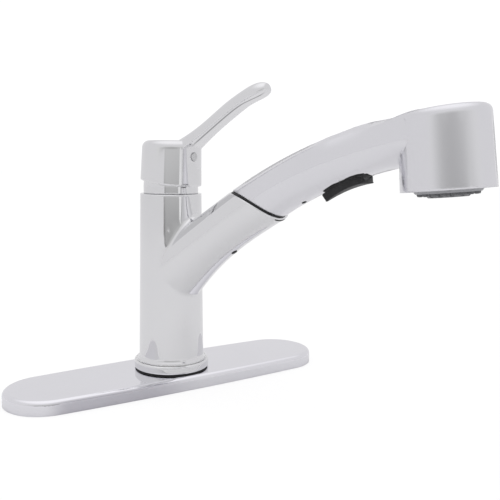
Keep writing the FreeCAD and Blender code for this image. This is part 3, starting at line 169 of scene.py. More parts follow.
class FaucetHose(bpy.types.PropertyGroup):
    radius: length_setting("Radius", "Outside of the braid", 6.5, min=3 * MM)
    bore: length_setting("Bore", "Inside radius of the hose", 4.0, min=1 * MM)
    reach: length_setting("Reach", "Hose in front of the column's axis", 6.0)
    bend: length_setting("Bend", "Radius of the hose's bend inside the column", 40.0)
    foot: length_setting("Foot", "Height of the hose's lower end", -48.0)
    strands: IntProperty(
        name="Strands", description="Strands of the braid each way round", default=12, min=4, max=40)
    braid_pitch: length_setting(
        "Braid pitch", "Length of one strand's turn divided by the strands", 3.1, min=0.5 * MM)
    strand_tone: colour_setting("Strand", "Tone of the braid's strands", (0.46, 0.47, 0.49))
    gap_tone: colour_setting("Gap", "Tone between the strands", (0.05, 0.05, 0.055))


class FaucetTrim(bpy.types.PropertyGroup):
    screen_radius: length_setting("Screen radius", "Wire screen in the aerator", 8.3)
    screen_pitch: length_setting("Screen pitch", "Distance between two of its wires", 1.15, min=0.5 * MM)
    screen_drop: length_setting("Screen drop", "Wire screen below the head's middle point", 34.15)
    wire_width: length_setting("Wire", "Width of one wire of the screen", 0.38)
    tip_count: IntProperty(name="Nozzle tips", description="Soft tips round the aerator", default=18, min=3)
    tip_radius: length_setting("Tip radius", "Foot of one soft tip", 1.62)
    tip_hole: length_setting("Tip hole", "Hole in one soft tip", 0.5)
    tip_ring: length_setting("Tip ring", "Radius of the ring of soft tips", 16.5)
    thread_pitch: length_setting("Thread pitch", "Pitch of the shank's thread", 1.5, min=0.5 * MM, max=4 * MM)
    thread_depth: length_setting("Thread depth", "Depth of the shank's thread", 0.6)
    thread_top: length_setting("Thread top", "Height where the shank's thread runs out", -30.0)
    heel_width: length_setting("Heel width", "Rocker button at its rear end, under the neck", 10.6)
    keel_width: length_setting("Keel width", "Face of the rocker button at its rear end", 3.0)
    toe_width: length_setting("Toe width", "Rocker button at its front end, under the neck", 15.8)
    face_width: length_setting("Face width", "Face of the rocker button at its front end", 18.4)
    button_bulge: length_setting("Button bulge", "How far the button's sides swell between its ends", 1.3)
    button_hollow: length_setting("Button hollow", "Depth of the hollow in the button's face", 1.8)
    button_corner: length_setting("Button corner", "Rounding along the button's face", 1.0)
    button_edge: length_setting("Button edge", "Bevel where the button's sides end under the neck", 0.35)
    button_dent: length_setting("Button dent", "Depth of the hollow in the button's front end", 1.2)
    button_play: length_setting("Button play", "Gap between the button and the neck over the pin", 0.45)
    button_tilt: FloatProperty(
        name="Button tilt", description="Room that the rocking button needs", subtype="ANGLE",
        default=math.radians(3.5))
    pin_length: length_setting("Pin length", "Pin that the button rocks on", 13.0)
    pin_chamfer: length_setting("Pin chamfer", "Chamfer at the pin's ends", 0.4)
    boot_rim: length_setting("Boot rim", "How far the rubber boot reaches beyond the button", 0.2)
    boot_proud: length_setting("Boot", "How far the rubber boot stands out of the neck", 0.25)
    boot_depth: length_setting("Boot depth", "How far the rubber boot reaches into the neck", 0.4)
    key_width: length_setting("Key width", "Key below the dock seam, side to side", 13.0)
    key_length: length_setting("Key length", "Key below the dock seam, along the branch", 1.5)
    key_proud: length_setting("Key height", "How far the key stands out of the branch", 0.4)
    liner_radius: length_setting("Liner radius", "Liner of the weep hole", 2.2)
    plug_radius: length_setting("Plug radius", "Plug under the neck", 1.7)
    plug_aside: length_setting("Plug aside", "Plug's distance from the neck's middle line", 2.4)


class FaucetStudio(bpy.types.PropertyGroup):
    lens: FloatProperty(
        name="Lens", description="Focal length on a 36 mm wide sensor", default=50.335, min=10)
    camera_place: FloatVectorProperty(
        name="Camera", description="Where the camera stands", subtype="XYZ", unit="LENGTH",
        default=(-0.24657, -0.47891, 0.17639))
    backdrop: level_setting("Backdrop", "Brightness of the white seen behind the faucet", 1.05)
    surround: level_setting("Surround", "Brightness of the white tent that the plating mirrors", 0.80)
    overhead: level_setting("Overhead", "Brightness of the tent straight above", 1.10)
    floor_tone: colour_setting("Floor", "Tone of the pale floor", (0.86, 0.86, 0.86))
    top_light: level_setting("Top light", "Power of the soft light overhead", 1.45, unit="POWER")
    dark_panel: level_setting(
        "Dark panel", "Brightness of the grey panel behind the camera, at its foot", 0.43)


def feed(tree, value, socket):
    """Gives a socket its value: another socket to link from, or a plain value."""
    if isinstance(value, bpy.types.NodeSocket):
        tree.links.new(value, socket)
    else:
        socket.default_value = value


def add_node(tree, kind, inputs=None, **settings):
    """A shader node with its settings, and with its inputs by name or number."""
    node = tree.nodes.new("ShaderNode" + kind)
    for name, setting in settings.items():
        setattr(node, name, setting)
    for name, value in (inputs or {}).items():
        feed(tree, value, node.inputs[name])
    return node


def new_material(name):
    """An empty node material with its shader and output."""
    made = bpy.data.materials.new(name)
    made.use_nodes = True
    tree = made.node_tree
    tree.nodes.clear()
    shader = add_node(tree, "BsdfPrincipled")
    add_node(tree, "OutputMaterial", {"Surface": shader.outputs["BSDF"]})
    return made, tree, shader


def math_node(tree, operation, *operands):
    """A math node; each operand is a socket or a number."""
    return add_node(tree, "Math", dict(enumerate(operands)), operation=operation).outputs[0]


def product(tree, first, *others):
    """Several values multiplied."""
    for other in others:
        first = math_node(tree, "MULTIPLY", first, other)
    return first


def object_place(tree):
    """The surface point in the object's own frame, in metres."""
    return add_node(tree, "TexCoord").outputs["Object"]


def split_place(tree, place):
    """A point's X, Y and Z, by name."""
    return add_node(tree, "SeparateXYZ", {0: place}).outputs


def reach_along(tree, place, direction):
    """How far a point lies along a direction."""
    return add_node(tree, "VectorMath", {0: place, 1: direction}, operation="DOT_PRODUCT").outputs["Value"]


def map_range(tree, value, start, end, low, high):
    """A value that runs smoothly from low to high while another runs from start to end."""
    inputs = {"Value": value, "From Min": start, "From Max": end, "To Min": low, "To Max": high}
    return add_node(tree, "MapRange", inputs, interpolation_type="SMOOTHSTEP").outputs["Result"]


def falling(tree, value, start, end):
    """1 at a start value, falling smoothly to 0 at an end value."""
    return map_range(tree, value, start, end, 1, 0)


def curve(tree, value, points):
    """A value read off a smooth curve through points between 0 and 1."""
    made = add_node(tree, "FloatCurve", {"Value": value})
    line = made.mapping.curves[0]
    line.points[0].location, line.points[1].location = points[0], points[-1]
    for place, height in points[1:-1]:
        line.points.new(place, height)
    made.mapping.update()
    return made.outputs["Value"]


def noise(tree, place, scale, detail=3.0, roughness=0.5):
    """A noise texture's value."""
    inputs = {"Vector": place, "Scale": scale, "Detail": detail, "Roughness": roughness}
    return add_node(tree, "TexNoise", inputs).outputs["Fac"]


def opaque(tone):
    """A tone with full cover."""
    return (*tone, 1)


def blend_colours(tree, share, first, second):
    """A mix of two colours; each is a socket or an opaque tone."""
    node = add_node(tree, "Mix", {"Factor": share}, data_type="RGBA")
    for name, colour in (("A", first), ("B", second)):
        feed(tree, colour, [s for s in node.inputs if s.name == name and s.type == "RGBA"][0])
    return [s for s in node.outputs if s.type == "RGBA"][0]


def bump(tree, shader, height, distance, soft_edge=0.0):
    """Lets a height shape the shader's normal, with edges softened over a distance where one is given."""
    node = add_node(tree, "Bump", {"Distance": distance, "Height": height})
    if soft_edge:
        rounded = add_node(tree, "Bevel", {"Radius": soft_edge}, samples=8)
        tree.links.new(rounded.outputs["Normal"], node.inputs["Normal"])
    tree.links.new(node.outputs["Normal"], shader.inputs["Normal"])


def polish_marks(tree, place, scale):
    """Smears and fine hairlines of bright or turned metal."""
    hairlines_per_smear = 22.0
    smear = noise(tree, place, scale, detail=4.0, roughness=0.55)
    soft = math_node(tree, "SMOOTH_MIN", product(tree, smear, smear), 1.0, 0.1)
    hairline = noise(tree, place, product(tree, scale, hairlines_per_smear), detail=2.0, roughness=0.7)
    return soft, product(tree, math_node(tree, "ADD", smear, hairline), 0.5), hairline


def moulded_grain(tree, place, scale):
    """Fine grain of moulded plastic, rubber and pressed ceramic."""
    clouds_per_grain = 0.06
    grain = noise(tree, place, scale, detail=3.0, roughness=0.6)
    cloud = noise(tree, place, product(tree, scale, clouds_per_grain), detail=3.0, roughness=0.5)
    return product(tree, grain, cloud), grain, grain


def surface_group(marks):
    """A node group for a surface, made once: two tones and a roughness in, colour, roughness, height out.

    The marks say how much of the second tone and of the roughness's spread shows, and the height.
    """
    name = marks.__name__
    if name in bpy.data.node_groups:
        return bpy.data.node_groups[name]
    group = bpy.data.node_groups.new(name, "ShaderNodeTree")
    tone, number = "NodeSocketColor", "NodeSocketFloat"
    for way, label, kind in (
            ("INPUT", "Tone", tone), ("INPUT", "Second Tone", tone), ("INPUT", "Roughness", number),
            ("INPUT", "Spread", number), ("INPUT", "Scale", number),
            ("OUTPUT", "Color", tone), ("OUTPUT", "Roughness", number), ("OUTPUT", "Height", number)):
        group.interface.new_socket(label, in_out=way, socket_type=kind)
    given = group.nodes.new("NodeGroupInput").outputs
    result = group.nodes.new("NodeGroupOutput").inputs
    share, rough_share, height = marks(group, object_place(group), given["Scale"])
    colour = blend_colours(group, share, given["Tone"], given["Second Tone"])
    rough = math_node(group, "MULTIPLY_ADD", rough_share, given["Spread"], given["Roughness"])
    for value, socket in zip((colour, rough, height), result):
        group.links.new(value, socket)
    return group


def lighter(tone, share):
    """A tone moved towards white by a share."""
    return tuple(channel + (1 - channel) * share for channel in tone)


def darker(tone, share):
    """A tone brought down to a share of it."""
    return tuple(share * channel for channel in tone)


def surface(name, marks, tone, second, roughness, spread, scale, depth, soft_edge=0.0):
    """A material whose colour, roughness and height follow a surface's marks, and its shader."""
    made, tree, shader = new_material(name)
    inputs = {
        "Tone": opaque(tone), "Second Tone": opaque(second),
        "Roughness": roughness, "Spread": spread, "Scale": scale}
    node = add_node(tree, "Group", inputs, node_tree=surface_group(marks))
    tree.links.new(node.outputs["Color"], shader.inputs["Base Color"])
    tree.links.new(node.outputs["Roughness"], shader.inputs["Roughness"])
    bump(tree, shader, node.outputs["Height"], depth, soft_edge)
    return made, shader


def metal(name, tone, smear, roughness, spread, scale, depth, soft_edge=0.0):
    """Bright or turned metal with smears and hairlines."""
    made, shader = surface(name, polish_marks, tone, smear, roughness, spread, scale, depth, soft_edge)
    shader.inputs["Metallic"].default_value = 1.0
    return made


def moulding(name, tone, lightest, roughness, spread, scale, depth, gloss=0.5):
    """Moulded plastic, rubber or ceramic with a fine grain."""
    made, shader = surface(name, moulded_grain, tone, lightest, roughness, spread, scale, depth)
    shader.inputs["Specular IOR Level"].default_value = gloss
    return made


def paint_darker(tree, area, shade):
    """Paints a darker reflection into the plating's colour where an area is marked."""
    colour = tree.nodes["Principled BSDF"].inputs["Base Color"]
    tree.links.new(blend_colours(tree, area, colour.links[0].from_socket, opaque(shade)), colour)


def paint_dark_reflection_line(tree, shade):
    """Paints a dark reflection line into the plating's colour along the line under the lever's arm, in
    millimetres.
    """
    core, rim, slant = 0.5, 1.5, 0.85
    fade_in, fade_out = (30.0, 22.0), (82.0, 88.0)
    foot, rise, widest = 175.0, 50.0, 5.0
    start = ARM_LINE[0][0]
    length = ARM_LINE[-1][0] - start
    place = object_place(tree)
    ahead, across, height = [reach_along(tree, place, direction / MM) for direction in (AHEAD, ACROSS, UP)]
    share = math_node(tree, "DIVIDE", math_node(tree, "SUBTRACT", ahead, start), length)
    edge = [((at - start) / length, (up - foot) / rise) for at, up, aside in ARM_LINE]
    width = [((at - start) / length, aside / widest) for at, up, aside in ARM_LINE]
    level = math_node(tree, "ADD", product(tree, curve(tree, share, edge), rise), foot)
    off = product(tree, math_node(tree, "SUBTRACT", height, level), slant)
    aside = math_node(tree, "ADD", across, product(tree, curve(tree, share, width), widest))
    square = math_node(tree, "ADD", product(tree, off, off), product(tree, aside, aside))
    line = falling(tree, math_node(tree, "SQRT", square), core, rim)
    line = product(tree, line, falling(tree, ahead, *fade_in), falling(tree, ahead, *fade_out))
    paint_darker(tree, line, shade)


def paint_front_reflection(tree, shade):
    """Paints a darker reflection into the plating's colour on the front edge of the deck plate, left of the
    column.
    """
    low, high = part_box("deck_plate")
    top_fade, front_fade = (high[2] - 2.4 * MM, high[2] - 1.0 * MM), (0.6 * low[1], 0.5 * low[1])
    right_fade, left_fade = (0.3 * low[0], 0.1 * high[0]), (0.72 * low[0], 0.86 * low[0])
    place = split_place(tree, object_place(tree))
    area = product(
        tree, falling(tree, place["Z"], *top_fade), falling(tree, place["Y"], *front_fade),
        falling(tree, place["X"], *right_fade), falling(tree, place["X"], *left_fade))
    paint_darker(tree, area, shade)


def finish(nodes, material):
    """Gives CAD nodes a material in all their slots."""
    for name in nodes:
        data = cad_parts[name].data
        if not data.materials:
            data.materials.append(material)
        for slot in range(len(data.materials)):
            data.materials[slot] = material


def worn_by(node):
    """The material that a CAD node has been given."""
    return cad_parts[node].data.materials[0]


def add_piece(name, shape, material, smooth=True):
    """A new object from a bmesh, in the frame's own place."""
    data = bpy.data.meshes.new(name)
    bmesh.ops.recalc_face_normals(shape, faces=shape.faces)
    shape.to_mesh(data)
    shape.free()
    for face in data.polygons:
        face.use_smooth = smooth
    data.materials.append(material)
    made = bpy.data.objects.new(name, data)
    bpy.context.scene.collection.objects.link(made)
    return made


def ring_about(middle, first, second, radius, count):
    """A ring of points about a middle, in the plane of two directions."""
    turns = [2 * math.pi * number / count for number in range(count)]
    return [middle + (first * math.cos(turn) + second * math.sin(turn)) * radius for turn in turns]


def join_rings(shape, rings, endless=False):
    """Corners at rings of points, and faces from each ring to the next; endless, from last to first too."""
    made = [[shape.verts.new(point) for point in ring] for ring in rings]
    following = made[1:] + made[:1] if endless else made[1:]
    for below, above in zip(made, following):
        count = len(below)
        for number in range(count):
            after = (number + 1) % count
            shape.faces.new((below[number], below[after], above[after], above[number]))
    return made


def close_ring(shape, ring):
    """Faces from a ring of corners to its middle."""
    middle = shape.verts.new(sum((point.co for point in ring), Vector()) / len(ring))
    for first, second in zip(ring, ring[1:] + ring[:1]):
        shape.faces.new((first, second, middle))


def closed_piece(name, rings, like):
    """A new object from rings of points, closed at both ends, in the material of a CAD node."""
    shape = bmesh.new()
    made = join_rings(shape, rings)
    close_ring(shape, made[0])
    close_ring(shape, made[-1])
    return add_piece(name, shape, worn_by(like))


def skin_of(node):
    """The surface of a CAD node, to set a piece on."""
    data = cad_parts[node].data
    places = [point.co for point in data.vertices]
    return BVHTree.FromPolygons(places, [face.vertices for face in data.polygons])


def meet(skin, start, direction):
    """Where a line from a point meets a surface, and the surface's normal there."""
    place, normal = skin.ray_cast(start, direction)[:2]
    if place is None:
        raise RuntimeError("the surface isn't met")
    return place, normal


class FAUCET_OT_plating(bpy.types.Operator):
    """Polished plating of plate, column, lever and wand"""

    bl_idname = "faucet.plating"
    bl_label = "Plating"

    def execute(self, context):
        look = context.scene.faucet_finish
        bright, smear, wand, plate = look.chrome_tone, look.chrome_shade, look.wand_tone, look.plate_tone
        hard, soft, edge = look.chrome_roughness, look.wand_roughness, look.soft_edge
        for name, nodes, tone, second, roughness, spread, scale, depth, soft_edge in (
                ("chrome", BRIGHT_NODES, bright, smear, hard, 0.03, 26.0, 0.0004, edge),
                ("lever_chrome", ("lever_handle",), bright, smear, hard, 0.03, 26.0, 0.0004, edge),
                ("wand_chrome", ("wand_shell",), wand, darker(wand, 0.955), soft, 0.04, 22.0, 0.0006, edge),
                ("plate_chrome", ("deck_plate",), plate, darker(plate, 0.95), hard, 0.04, 24.0, 0.0004, 0.0)):
            finish(nodes, metal(name, tone, second, roughness, spread, scale, depth * MM, soft_edge))
        # Painted dark reflection line on the lever's underside
        paint_dark_reflection_line(worn_by("lever_handle").node_tree, look.painted_line_tone)
        # Painted darker reflection on the deck plate's front edge
        paint_front_reflection(worn_by("deck_plate").node_tree, look.front_reflection_tone)
        return {"FINISHED"}


class FAUCET_OT_machined(bpy.types.Operator):
    """Brass, steel and copper pieces"""

    bl_idname = "faucet.machined"
    bl_label = "Machined metal"

    def execute(self, context):
        look = context.scene.faucet_finish
        for name, nodes, tone, lift, roughness, spread, scale, depth in (
                ("brass", BRASS_NODES, look.brass_tone, 0.1, 0.2, 0.14, 90.0, 0.01 * MM),
                ("steel", STEEL_NODES, look.steel_tone, 0.15, 0.16, 0.16, 110.0, 0.008 * MM),
                ("copper", COPPER_NODES, look.copper_tone, 0.08, 0.24, 0.16, 70.0, 0.01 * MM)):
            finish(nodes, metal(name, tone, lighter(tone, lift), roughness, spread, scale, depth))
        return {"FINISHED"}


class FAUCET_OT_moulded(bpy.types.Operator):
    """Plastic, rubber and ceramic pieces"""

    bl_idname = "faucet.moulded"
    bl_label = "Moulded pieces"

    def execute(self, context):
        look = context.scene.faucet_finish
        black, grey, white, ceramic = look.black_tone, look.grey_tone, look.white_tone, look.ceramic_tone
        sheen, gloss = 0.5, look.black_gloss
        for name, nodes, tone, lightest, roughness, spread, scale, depth, level in (
                ("black_plastic", BLACK_NODES, black, lighter(black, 0.02), 0.34, 0.14, 1100.0, 0.02, gloss),
                ("black_rubber", RUBBER_NODES, black, lighter(black, 0.04), 0.62, 0.2, 1500.0, 0.03, gloss),
                ("button_plastic", ("spray_button",), lighter(black, 0.004), lighter(black, 0.03),
                 0.42, 0.16, 1300.0, 0.04, gloss),
                ("grey_plastic", GREY_NODES, grey, lighter(grey, 0.12), 0.36, 0.14, 1200.0, 0.02, sheen),
                ("aerator_plastic", ("aerator",), darker(grey, 0.4), grey, 0.3, 0.14, 1200.0, 0.02, sheen),
                ("index_plastic", ("index_plug",), lighter(grey, 0.5), lighter(grey, 0.62),
                 0.2, 0.1, 1200.0, 0.01, sheen),
                ("white_plastic", WHITE_NODES, white, lighter(white, 0.2), 0.36, 0.14, 1000.0, 0.02, sheen),
                ("ceramic", CERAMIC_NODES, ceramic, lighter(ceramic, 0.3), 0.12, 0.1, 2200.0, 0.004, sheen)):
            finish(nodes, moulding(name, tone, lightest, roughness, spread, scale, depth * MM, level))
        return {"FINISHED"}


def braid(settings, through):
    """Woven wire braid round a line that runs up the branch through a point."""
    strand_gain, gap_softness, depth = 1.6, 0.2, 0.6 * MM
    grain_scale, grain_spread, smoothest = 700.0, 0.2, 0.24
    made, tree, shader = new_material("braid")
    place = object_place(tree)
    shifted = add_node(tree, "VectorMath", {0: place, 1: through}, operation="SUBTRACT").outputs["Vector"]
    along, side, over = [
        reach_along(tree, shifted, direction)
        for direction in (UPHILL, ACROSS, UPHILL.cross(ACROSS))]
    turns = product(tree, math_node(tree, "ARCTAN2", over, side), settings.strands / (2 * math.pi))
    climb = math_node(tree, "DIVIDE", along, settings.braid_pitch)
    rises, cells = [], []
    for way in ("ADD", "SUBTRACT"):
        strand = math_node(tree, way, turns, climb)
        across_strand = product(tree, math_node(tree, "FRACT", strand), math.pi)
        rises.append(math_node(tree, "SINE", across_strand))
        cells.append(math_node(tree, "FLOOR", strand))
    crossing = math_node(tree, "FLOORED_MODULO", math_node(tree, "ADD", *cells), 2.0)
    left_top = product(tree, rises[0], crossing)
    right_top = product(tree, rises[1], math_node(tree, "SUBTRACT", 1.0, crossing))
    height = math_node(tree, "ADD", left_top, right_top)
    lit = math_node(tree, "SMOOTH_MIN", product(tree, height, strand_gain), 1.0, gap_softness)
    colour = blend_colours(tree, lit, opaque(settings.gap_tone), opaque(settings.strand_tone))
    tree.links.new(colour, shader.inputs["Base Color"])
    shader.inputs["Metallic"].default_value = 0.85
    rough = math_node(tree, "MULTIPLY_ADD", noise(tree, place, grain_scale), grain_spread, smoothest)
    tree.links.new(rough, shader.inputs["Roughness"])
    bump(tree, shader, height, depth)
    return made


class FAUCET_OT_hose(bpy.types.Operator):
    """Braided hose from below the counter up through the column and branch to the wand's tail"""

    bl_idname = "faucet.hose"
    bl_label = "Hose"

    def execute(self, context):
        size = context.scene.faucet_hose
        lip, seen_bore, blend_lead = 0.3 * MM, 12 * MM, 3 * MM
        upright_steps, bend_steps, uphill_steps, around = 30, 24, 120, 40
        corner = AHEAD * size.reach + UP * (BRANCH_HEIGHT + size.reach * math.tan(BRANCH_RISE))
        turn = math.pi / 2 - BRANCH_RISE
        tangent = size.bend * math.tan(turn / 2)
        low = corner - UP * tangent
        high = corner + UPHILL * tangent
        centre = low + AHEAD * size.bend
        foot = AHEAD * size.reach + UP * size.foot
        route = [(foot.lerp(low, step / upright_steps), UP) for step in range(upright_steps)]
        for step in range(bend_steps):
            swung = turn * step / bend_steps
            outward = -AHEAD * math.cos(swung) + UP * math.sin(swung)
            heading = UP * math.cos(swung) + AHEAD * math.sin(swung)
            route.append((centre + outward * size.bend, heading))
        route += [(high.lerp(HOSE_TAIL, step / uphill_steps), UPHILL) for step in range(uphill_steps + 1)]
        first = route[0]
        sections = [
            ((foot + UP * seen_bore, UP), size.bore), (first, size.bore), (first, size.radius - lip),
            ((foot + UP * lip, UP), size.radius)]
        sections += [(station, size.radius) for station in route[1:]]
        shape = bmesh.new()
        join_rings(shape, [
            ring_about(point, ACROSS, heading.cross(ACROSS), radius, around)
            for (point, heading), radius in sections])
        hose = add_piece("braided_hose", shape, braid(size, HOSE_TAIL))
        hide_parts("hose")
        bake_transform(hose)
        return {"FINISHED"}


class FAUCET_OT_screen(bpy.types.Operator):
    """Wire screen in the aerator"""

    bl_idname = "faucet.screen"
    bl_label = "Aerator screen"

    def execute(self, context):
        size = context.scene.faucet_trim
        sides, least_steps, weave_lift = 6, 4, 0.6
        middle = HEAD_POINT - HEAD_AXIS * size.screen_drop
        count = int(size.screen_radius / size.screen_pitch)
        half = size.wire_width / 2
        shape = bmesh.new()
        for first, second, lift in ((HEAD_FRONT, ACROSS, 0.0), (ACROSS, HEAD_FRONT, weave_lift)):
            for number in range(-count, count + 1):
                offset = number * size.screen_pitch
                reach = math.sqrt(size.screen_radius ** 2 - offset ** 2)
                steps = max(least_steps, int(reach / size.screen_pitch) * 2)
                rings = []
                for step in range(steps + 1):
                    travel = reach * (2 * step / steps - 1)
                    wave = half * lift * math.cos(math.pi * travel / size.screen_pitch)
                    point = middle + second * offset + first * travel + HEAD_AXIS * wave
                    rings.append(ring_about(point, second, HEAD_AXIS, half, sides))
                wire = join_rings(shape, rings)
                shape.faces.new(wire[0])
                shape.faces.new(wire[-1])
        screen = add_piece("aerator_screen", shape, worn_by("set_screw"))
        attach(screen, "wand")
        return {"FINISHED"}


class FAUCET_OT_nozzle_tips(bpy.types.Operator):
    """Soft tips on the spray nozzles"""

    bl_idname = "faucet.nozzle_tips"
    bl_label = "Nozzle tips"

    def execute(self, context):
        size = context.scene.faucet_trim
        foot, hole = size.tip_radius, size.tip_hole
        around = 20
        # Radius, and millimetres below the head's middle point
        profile = (
            (foot, 31.9), (0.96 * foot, 32.3), (0.82 * foot, 33.0), (0.7 * foot, 33.3),
            (1.2 * hole, 33.4), (hole, 33.3), (hole, 33.05))
        shape = bmesh.new()
        for number in range(size.tip_count):
            turned = 2 * math.pi * number / size.tip_count
            outward = HEAD_FRONT * math.cos(turned) + ACROSS * math.sin(turned)
            middle = HEAD_POINT + outward * size.tip_ring
            tip = join_rings(shape, [
                ring_about(middle - HEAD_AXIS * drop * MM, HEAD_FRONT, ACROSS, radius, around)
                for radius, drop in profile])
            shape.faces.new(tip[-1])
        grey = context.scene.faucet_finish.grey_tone
        soft = moulding("soft_tip", darker(grey, 0.35), darker(grey, 0.6), roughness=0.5, spread=0.2,
                        scale=1500.0, depth=0.02 * MM)
        tips = add_piece("nozzle_tips", shape, soft)
        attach(tips, "wand")
        return {"FINISHED"}


class FAUCET_OT_shank(bpy.types.Operator):
    """Hollow shank with its cut thread below the counter"""

    bl_idname = "faucet.shank"
    bl_label = "Threaded shank"

    def execute(self, context):
        size = context.scene.faucet_trim
        steps_per_turn, around, outside, margin, inset_share = 10, 72, 0.1, 0.1 * MM, 0.02
        skin = skin_of("shank")
        outward, inward = Vector((1, 0, 0)), Vector((-1, 0, 0))
        heights = sorted({round(point.co.z, 6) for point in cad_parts["shank"].data.vertices})
        profile = []
        for low, high in zip(heights, heights[1:]):
            inset = inset_share * (high - low)
            first, last = [
                meet(skin, UP * height - inward * outside, inward)[0].x
                for height in (low + inset, high - inset)]
            steps = 1
            if high < size.thread_top + margin:
                steps = max(1, round((high - low) / size.thread_pitch * steps_per_turn))
            for step in range(steps + 1):
                share = step / steps
                profile.append((first + (last - first) * share, low + (high - low) * share))
        bore = meet(skin, UP * (heights[0] + heights[-1]) / 2, outward)[0].x
        profile += [(bore, heights[-1]), (bore, heights[0])]
        rings = []
        for radius, height in profile:
            run_out = min(1.0, max(0.0, (size.thread_top - height) / size.thread_pitch))
            ring = []
            for step in range(around):
                turned = 2 * math.pi * step / around
                cut = 0.0
                if radius > bore:
                    phase = (height / size.thread_pitch + step / around) % 1.0
                    cut = size.thread_depth * run_out * (1 - abs(2 * phase - 1))
                reach = radius - cut
                ring.append((reach * math.cos(turned), reach * math.sin(turned), height))
            rings.append(ring)
        shape = bmesh.new()
        join_rings(shape, rings, endless=True)
        shank = add_piece("threaded_shank", shape, worn_by("shank"), smooth=False)
        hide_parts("shank")
        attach(shank, "base")
        return {"FINISHED"}


def bow(share):
    """0 at both ends of a length and 1 in its middle."""
    return 4 * share * (1 - share)


class FAUCET_OT_button(bpy.types.Operator):
    """Rocker button under the neck, its pin, and the rubber boot in its pocket"""

    bl_idname = "faucet.button"
    bl_label = "Rocker button"

    def execute(self, context):
        size = context.scene.faucet_trim
        self.neck = skin_of("wand_shell")
        self.make_button(size)
        self.make_boot(size)
        self.make_pin(size)
        return {"FINISHED"}

    def station(self, share, hollow):
        """Foot of a section, its upward direction, and the neck's heights over it beside the middle."""
        start_below = 5 * MM
        foot = BUTTON_HEEL.lerp(BUTTON_TOE, share)
        upward = (HEEL_TOP.lerp(TOE_TOP, share) - foot).normalized()
        foot = foot + upward * hollow * bow(share)
        heights = []
        for aside in (NECK_NEAR, NECK_FAR):
            place = meet(self.neck, foot - upward * start_below + ACROSS * aside, upward)[0]
            heights.append((place - foot).dot(upward))
        return foot, upward, heights

    def neck_over(self, heights, aside):
        """The neck's height over a section, at a distance from the middle."""
        low, high = heights
        if abs(aside) < NECK_NEAR:
            return low - NECK_SAG * (1 - (aside / NECK_NEAR) ** 2)
        return low + (high - low) * (abs(aside) - NECK_NEAR) / (NECK_FAR - NECK_NEAR)

    def half_width(self, size, share):
        """Half the button's width under the neck, at a share of its length."""
        straight = size.heel_width + (size.toe_width - size.heel_width) * share
        return straight / 2 + size.button_bulge * bow(share)

    def outline(self, size, share, inset, heights, room):
        """The button's section at a share of its length: distances from the middle, heights over the foot."""
        steps, arc_steps, arc_turn, corner_share = 12, 5, math.radians(18), 0.6
        wide = self.half_width(size, share) - inset
        base = size.keel_width / 2 + (size.face_width - size.keel_width) / 2 * share - inset
        corner = min(size.button_corner, corner_share * base)
        edge = size.button_edge
        points = [((base - corner) * (2 * step / steps - 1), inset) for step in range(steps + 1)]
        rounding = []
        for step in range(1, arc_steps + 1):
            turn = arc_turn * step
            rounding.append((base - corner * (1 - math.sin(turn)), inset + corner * (1 - math.cos(turn))))
        points += rounding
        points.append((wide, self.neck_over(heights, wide) - room - edge))
        for step in range(steps + 1):
            aside = (wide - edge) * (1 - 2 * step / steps)
            points.append((aside, self.neck_over(heights, aside) - room))
        points.append((-wide, self.neck_over(heights, wide) - room - edge))
        return points + [(-aside, height) for aside, height in reversed(rounding)]

    def make_button(self, size):
        """Button with a keel at its rear end, a hollow face and a dented front end."""
        along = (BUTTON_TOE - BUTTON_HEEL).normalized()
        length = (BUTTON_TOE - BUTTON_HEEL).length
        pivot = (BUTTON_PIVOT - BUTTON_HEEL).dot(along) / length
        sections, inner_start, inner_length, dent_sharpness = 24, 0.05, 0.9, 8
        # Share of the length, and how far the section is drawn in there, in millimetres
        ends = ((0.0, 0.4), (0.006, 0.18), (0.016, 0.05), (0.035, 0.0))
        stations = list(ends)
        stations += [(inner_start + inner_length * step / sections, 0.0) for step in range(1, sections)]
        stations += [(1 - share, inset) for share, inset in reversed(ends)]
        rings = []
        for share, inset in stations:
            foot, upward, heights = self.station(share, size.button_hollow)
            room = size.button_play + math.tan(size.button_tilt) * abs(share - pivot) * length + inset * MM
            points = self.outline(size, share, inset * MM, heights, room)
            tall = max(height for aside, height in points)
            dent = along * size.button_dent * share ** dent_sharpness
            rings.append([
                foot + ACROSS * aside + upward * height - dent * bow(height / tall)
                for aside, height in points])
        button = closed_piece("rocker_button", rings, "spray_button")
        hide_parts("spray_button")
        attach(button, "button")
        button.visible_glossy = False

    def make_boot(self, size):
        """Thin rubber boot between the button and the neck, a little longer than the button in front."""
        steps, sections, start, reach = 12, 24, 0.035, 1.075
        rings = []
        for number in range(sections + 1):
            share = start + reach * number / sections
            foot, upward, heights = self.station(share, size.button_hollow)
            wide = self.half_width(size, share) + size.boot_rim
            spread = [wide * (2 * step / steps - 1) for step in range(steps + 1)]
            points = [(aside, self.neck_over(heights, aside) - size.boot_proud) for aside in spread]
            points += [
                (aside, self.neck_over(heights, aside) + size.boot_depth) for aside in reversed(spread)]
            rings.append([foot + ACROSS * aside + upward * height for aside, height in points])
        boot = closed_piece("button_boot", rings, "base_gasket")
        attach(boot, "wand")
        boot.visible_glossy = False

    def make_pin(self, size):
        """Pin with chamfered ends that stays inside the neck."""
        around = 24
        low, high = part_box("button_pin")
        middle = (Vector(low) + Vector(high)) / 2
        radius = (high[2] - low[2]) / 2
        half, chamfer = size.pin_length / 2, size.pin_chamfer
        profile = (
            (-half, radius - chamfer), (chamfer - half, radius),
            (half - chamfer, radius), (half, radius - chamfer))
        rings = [ring_about(middle + ACROSS * place, AHEAD, UP, reach, around) for place, reach in profile]
        pin = closed_piece("rocker_pin", rings, "button_pin")
        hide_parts("button_pin")
        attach(pin, "wand")


